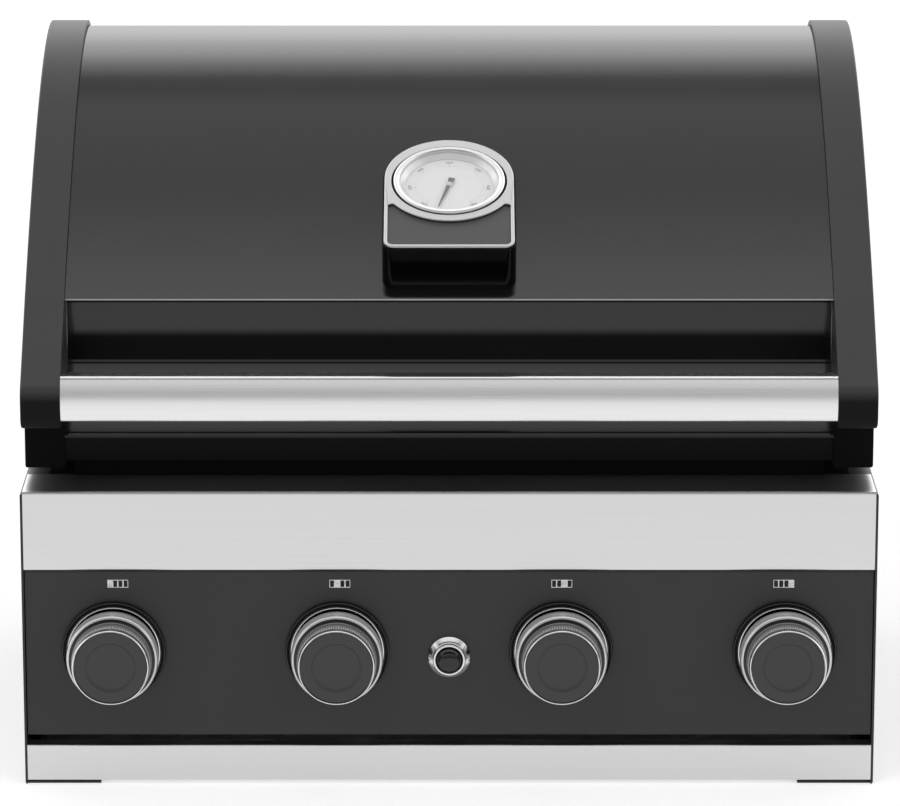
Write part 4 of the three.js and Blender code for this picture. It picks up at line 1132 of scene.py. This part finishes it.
number_first = math.radians(232)
number_sweep = math.radians(-284)
tick_radius = 29.4
tick_long = 2
tick_short = 1
tick_width = 0.45
ticks_between = 5
print_tones = (52, 64)
dial_tones = (244, 250)
dial_gloss = (0.4, 0.5)
glass_clear = 0.1


def disc(radius, bottom, top, rounding):
    """The outline of a flat disc with a soft upper edge"""
    return [(0, bottom, 0), (radius, bottom, 0), (radius, top, rounding), (0, top, 0)]


facing_up = upright.inverted()
on_dial = from_face @ Matrix.Translation((0, dial_up, -pocket_depth))
bright = plated("ring_bright", chrome_tones, silver_gloss, even_share)
true_shading(piece("gauge_ring", moved(turned(ring_profile, dial_steps), on_dial, facing_up), bright, "lid",
                   "plate_silver", "thermometer_ring"))
dial_paint = coating("dial_paint", dial_tones, dial_gloss, paint_grain, paint_relief, coat_cloud)
dial = turned(disc(dial_radius, dial_bottom, dial_top, dial_arris), dial_steps)
piece("gauge_dial", moved(dial, on_dial, facing_up), dial_paint, "lid", "dial_face", "thermometer_dial")
dial_ink = coating("dial_ink", print_tones, dial_gloss, paint_grain, paint_relief, coat_cloud)
print_shape = bmesh.new()
last_mark = (number_count - 1) * ticks_between
for mark in range(last_mark + 1):
    around = Matrix.Rotation(number_first + number_sweep * mark / last_mark, 4, "Z")
    long = mark % ticks_between == 0
    length = tick_long if long else tick_short
    tick = bmesh.ops.create_grid(print_shape, x_segments=1, y_segments=1, size=unit_half)["verts"]
    out = Matrix.Translation((tick_radius + length / 2, 0, dial_top + ink_height))
    size = Matrix.Diagonal((length, tick_width, 1, 1))
    bmesh.ops.transform(print_shape, verts=tick, matrix=around @ out @ size)
    if long:
        text = bpy.data.curves.new("number", "FONT")
        text.body = str(number_start + number_step * (mark // ticks_between))
        text.size = number_size
        text.align_x = "CENTER"
        text.align_y = "CENTER"
        holder = bpy.data.objects.new("number", text)
        bpy.context.scene.collection.objects.link(holder)
        flat = bpy.data.meshes.new_from_object(holder)
        bpy.data.objects.remove(holder)
        out = Matrix.Translation((number_radius, 0, dial_top + ink_height))
        flat.transform(around @ out @ Matrix.Rotation(-math.pi / 2, 4, "Z"))
        print_shape.from_mesh(flat)
        bpy.data.meshes.remove(flat)
piece("gauge_print", moved(print_shape, on_dial), dial_ink, "lid", "dial_face")

# Needle and hub: a flat black pointer with a short wide tail, pressed onto a pale turned hub.
needle_length = 35
needle_tail = 9
needle_half = 1.7
tail_half = 3
tip_half = 0.4
needle_low = 3.2
needle_thick = 0.6
needle_rest = math.radians(15.6)
hub_radius = 3.3
hub_crown = 2.4
hub_bottom = 1.9
hub_middle = 3.1
hub_side = 3.4
hub_shoulder = 4.2
hub_top = 4.4
hub_profile = [
    (0, hub_middle, 0), (0, hub_bottom, 0), (hub_radius, hub_bottom, 0), (hub_radius, hub_side, 0.2),
    (hub_crown, hub_shoulder, 0.5), (0, hub_top, 0),
]
needle_tones = (30, 40)
hub_tones = (205, 220)

needle = bmesh.new()
outline = [(needle_half, 0), (tip_half, -needle_length), (-tip_half, -needle_length), (-needle_half, 0),
           (-tail_half, needle_tail), (tail_half, needle_tail)]
needle.faces.new([needle.verts.new((x, y, needle_low)) for x, y in outline])
thick(needle, (0, 0, needle_thick))
needle_paint = coating("needle_paint", needle_tones, dial_gloss, paint_grain, paint_relief, coat_cloud)
resting = Matrix.Rotation(-needle_rest, 4, "Z")
piece("gauge_needle", closed(moved(needle, on_dial, resting)), needle_paint, "needle", "needle_black",
      "thermometer_needle")
hub_paint = coating("hub_paint", hub_tones, dial_gloss, paint_grain, paint_relief, coat_cloud)
hub_shape = moved(turned(hub_profile, boss_sides), on_dial, facing_up)
piece("gauge_hub", hub_shape, hub_paint, "needle", "needle_black")

glass, place = new_finish("clear_glass")
smudge = place.spots(enamel_wave)
paint(glass, {
    "Base Color": smudge.tint(grey(dial_tones[0]), grey(dial_tones[1])),
    "Roughness": between(smudge, chrome_gloss),
    "Alpha": glass_clear,
})
cover = turned(disc(glass_radius, glass_bottom, glass_top, glass_arris), dial_steps)
piece("gauge_glass", moved(cover, on_dial, facing_up), glass, "lid", "dial_glass", "thermometer_glass")

# Studio: a pale floor that runs to the horizon under an even white room, with soft lamps high on both sides
# of the camera.
floor_half = 12
floor_tones = (226, 230)
floor_gloss = (0.8, 0.9)
floor_grain = 40 * mm
floor_lift = 0.5
far_glow = 0.35
# Painted light from the floor: near the object it glows brighter in reflections, and glows for other rays as
# painted bounce light
near_glow = 0.15
painted_bounce_strength = 0.25
glow_from = 0.4
glow_to = 1.6
plain_light = 0.62
key_place = (-1.5, -2.4, 2.2)
key_size = 1.4
key_power = 17
fill_place = (1.9, -2.2, 1.3)
fill_size = 1.2
fill_power = 9.5
top_place = (0.2, -0.3, 2.6)
top_size = 1.6
top_power = 2
room_front = 0.5
room_over = 0.55
box_back = 1.7
box_front = 0.75
box_gap = -0.35
room_dip = -1
over_band = (-200, -190, 145, 168)
back_band = (0, 34, 43, 59)
gap_band = (55, 59, 62, 69)
front_band = (83, 100, 100, 112)
dip_band = (112, 118, 140, 148)
ahead_share = 0.6
aside_share = 0.85


def rays(place):
    """Masks for rays that show the scene to the camera, and for other rays that a gloss throws back"""
    kinds = ("Camera", "Glossy", "Transmission")
    straight, thrown, through = (place.node("LightPath", output=f"Is {kind} Ray") for kind in kinds)
    seen = straight.math("MAXIMUM", straight, through)
    return seen, thrown * (1 - seen)


floor_shape = bmesh.new()
bmesh.ops.create_grid(floor_shape, x_segments=1, y_segments=1, size=floor_half)
floor_mesh = bpy.data.meshes.new("floor")
floor_shape.to_mesh(floor_mesh)
floor_shape.free()
floor = bpy.data.objects.new("floor", floor_mesh)
bpy.context.scene.collection.objects.link(floor)
floor_finish, place = new_finish("floor_finish")
seen, glossy = rays(place)
ahead = 0 - place.node("SeparateXYZ", inputs={0: place}, output="Y")
near = 1 - ahead.ramp(glow_from, glow_to)
# Painted reflection: near the object the floor glows brighter for glossy rays than far away
glow = near * near_glow + far_glow
# Painted bounce light: the floor near the object glows for rays that are neither seen straight nor glossy
painted_bounce_light = (1 - seen - glossy) * near * painted_bounce_strength
speckle = place.spots(floor_grain)
paint(floor_finish, {
    "Base Color": speckle.tint(grey(floor_tones[0]), grey(floor_tones[1])),
    "Roughness": between(speckle, floor_gloss),
    "Emission Color": grey(white_level),
    "Emission Strength": seen * floor_lift + glossy * glow + painted_bounce_light,
})
floor_mesh.materials.append(floor_finish)

world = bpy.data.worlds.new("room")
world.use_nodes = True
bpy.context.scene.world = world
sky = Shade(world.node_tree)
seen, glossy = rays(sky)
direction = sky.node("TexCoord", output="Generated")
across, ahead, up = (direction.node("SeparateXYZ", inputs={0: direction}, output=axis) for axis in "XYZ")
turn_over = up.math("ARCTAN2", up, ahead)


def band(rise_from, rise_to, fall_from, fall_to):
    """1 where a ray goes out between two angles in degrees, counted over the top from the back of the room"""
    rise = turn_over.ramp(math.radians(rise_from), math.radians(rise_to))
    return rise * (1 - turn_over.ramp(math.radians(fall_from), math.radians(fall_to)))


straight_on = 1 - across.math("ABSOLUTE", across).ramp(ahead_share, aside_share)
room = band(*dip_band) * straight_on * room_dip + band(*over_band) * room_over + band(*back_band) * box_back
room = room + band(*front_band) * box_front + band(*gap_band) * box_gap + room_front
strength = seen + glossy * room + (1 - seen - glossy) * plain_light
sky.fill(world.node_tree.nodes["Background"], {"Color": grey(white_level), "Strength": strength})


def lamp(name, place, size, power):
    """A square soft box turned to the middle of the object, which metal sees only through the bright room"""
    light = bpy.data.lights.new(name, "AREA")
    light.size = size
    light.energy = power
    made = bpy.data.objects.new(name, light)
    made.location = place
    aim = Vector((0, 0, sum(corner[2] for corner in cad_box) / 2))
    made.rotation_euler = (aim - Vector(place)).to_track_quat("-Z", "Y").to_euler()
    made.visible_glossy = False
    bpy.context.scene.collection.objects.link(made)


lamp("key_light", key_place, key_size, key_power)
lamp("fill_light", fill_place, fill_size, fill_power)
lamp("top_light", top_place, top_size, top_power)

# Camera: straight in front and a little above, far enough away that the sides of the grill hardly narrow.
aim = Vector((0.0007, -0.1994, 0.3305))
camera_distance = 4.402
camera_tilt = math.radians(14)
sensor = 36
focal_share = 5.62

camera_data = bpy.data.cameras.new("camera")
camera_data.sensor_width = sensor
camera_data.lens = sensor * focal_share
camera = bpy.data.objects.new("camera", camera_data)
backwards = Vector((0, -math.cos(camera_tilt), math.sin(camera_tilt)))
camera.location = aim + backwards * camera_distance
camera.rotation_euler = (math.pi / 2 - camera_tilt, 0, 0)
bpy.context.scene.collection.objects.link(camera)
bpy.context.scene.camera = camera
bpy.context.scene.view_settings.view_transform = "Standard"
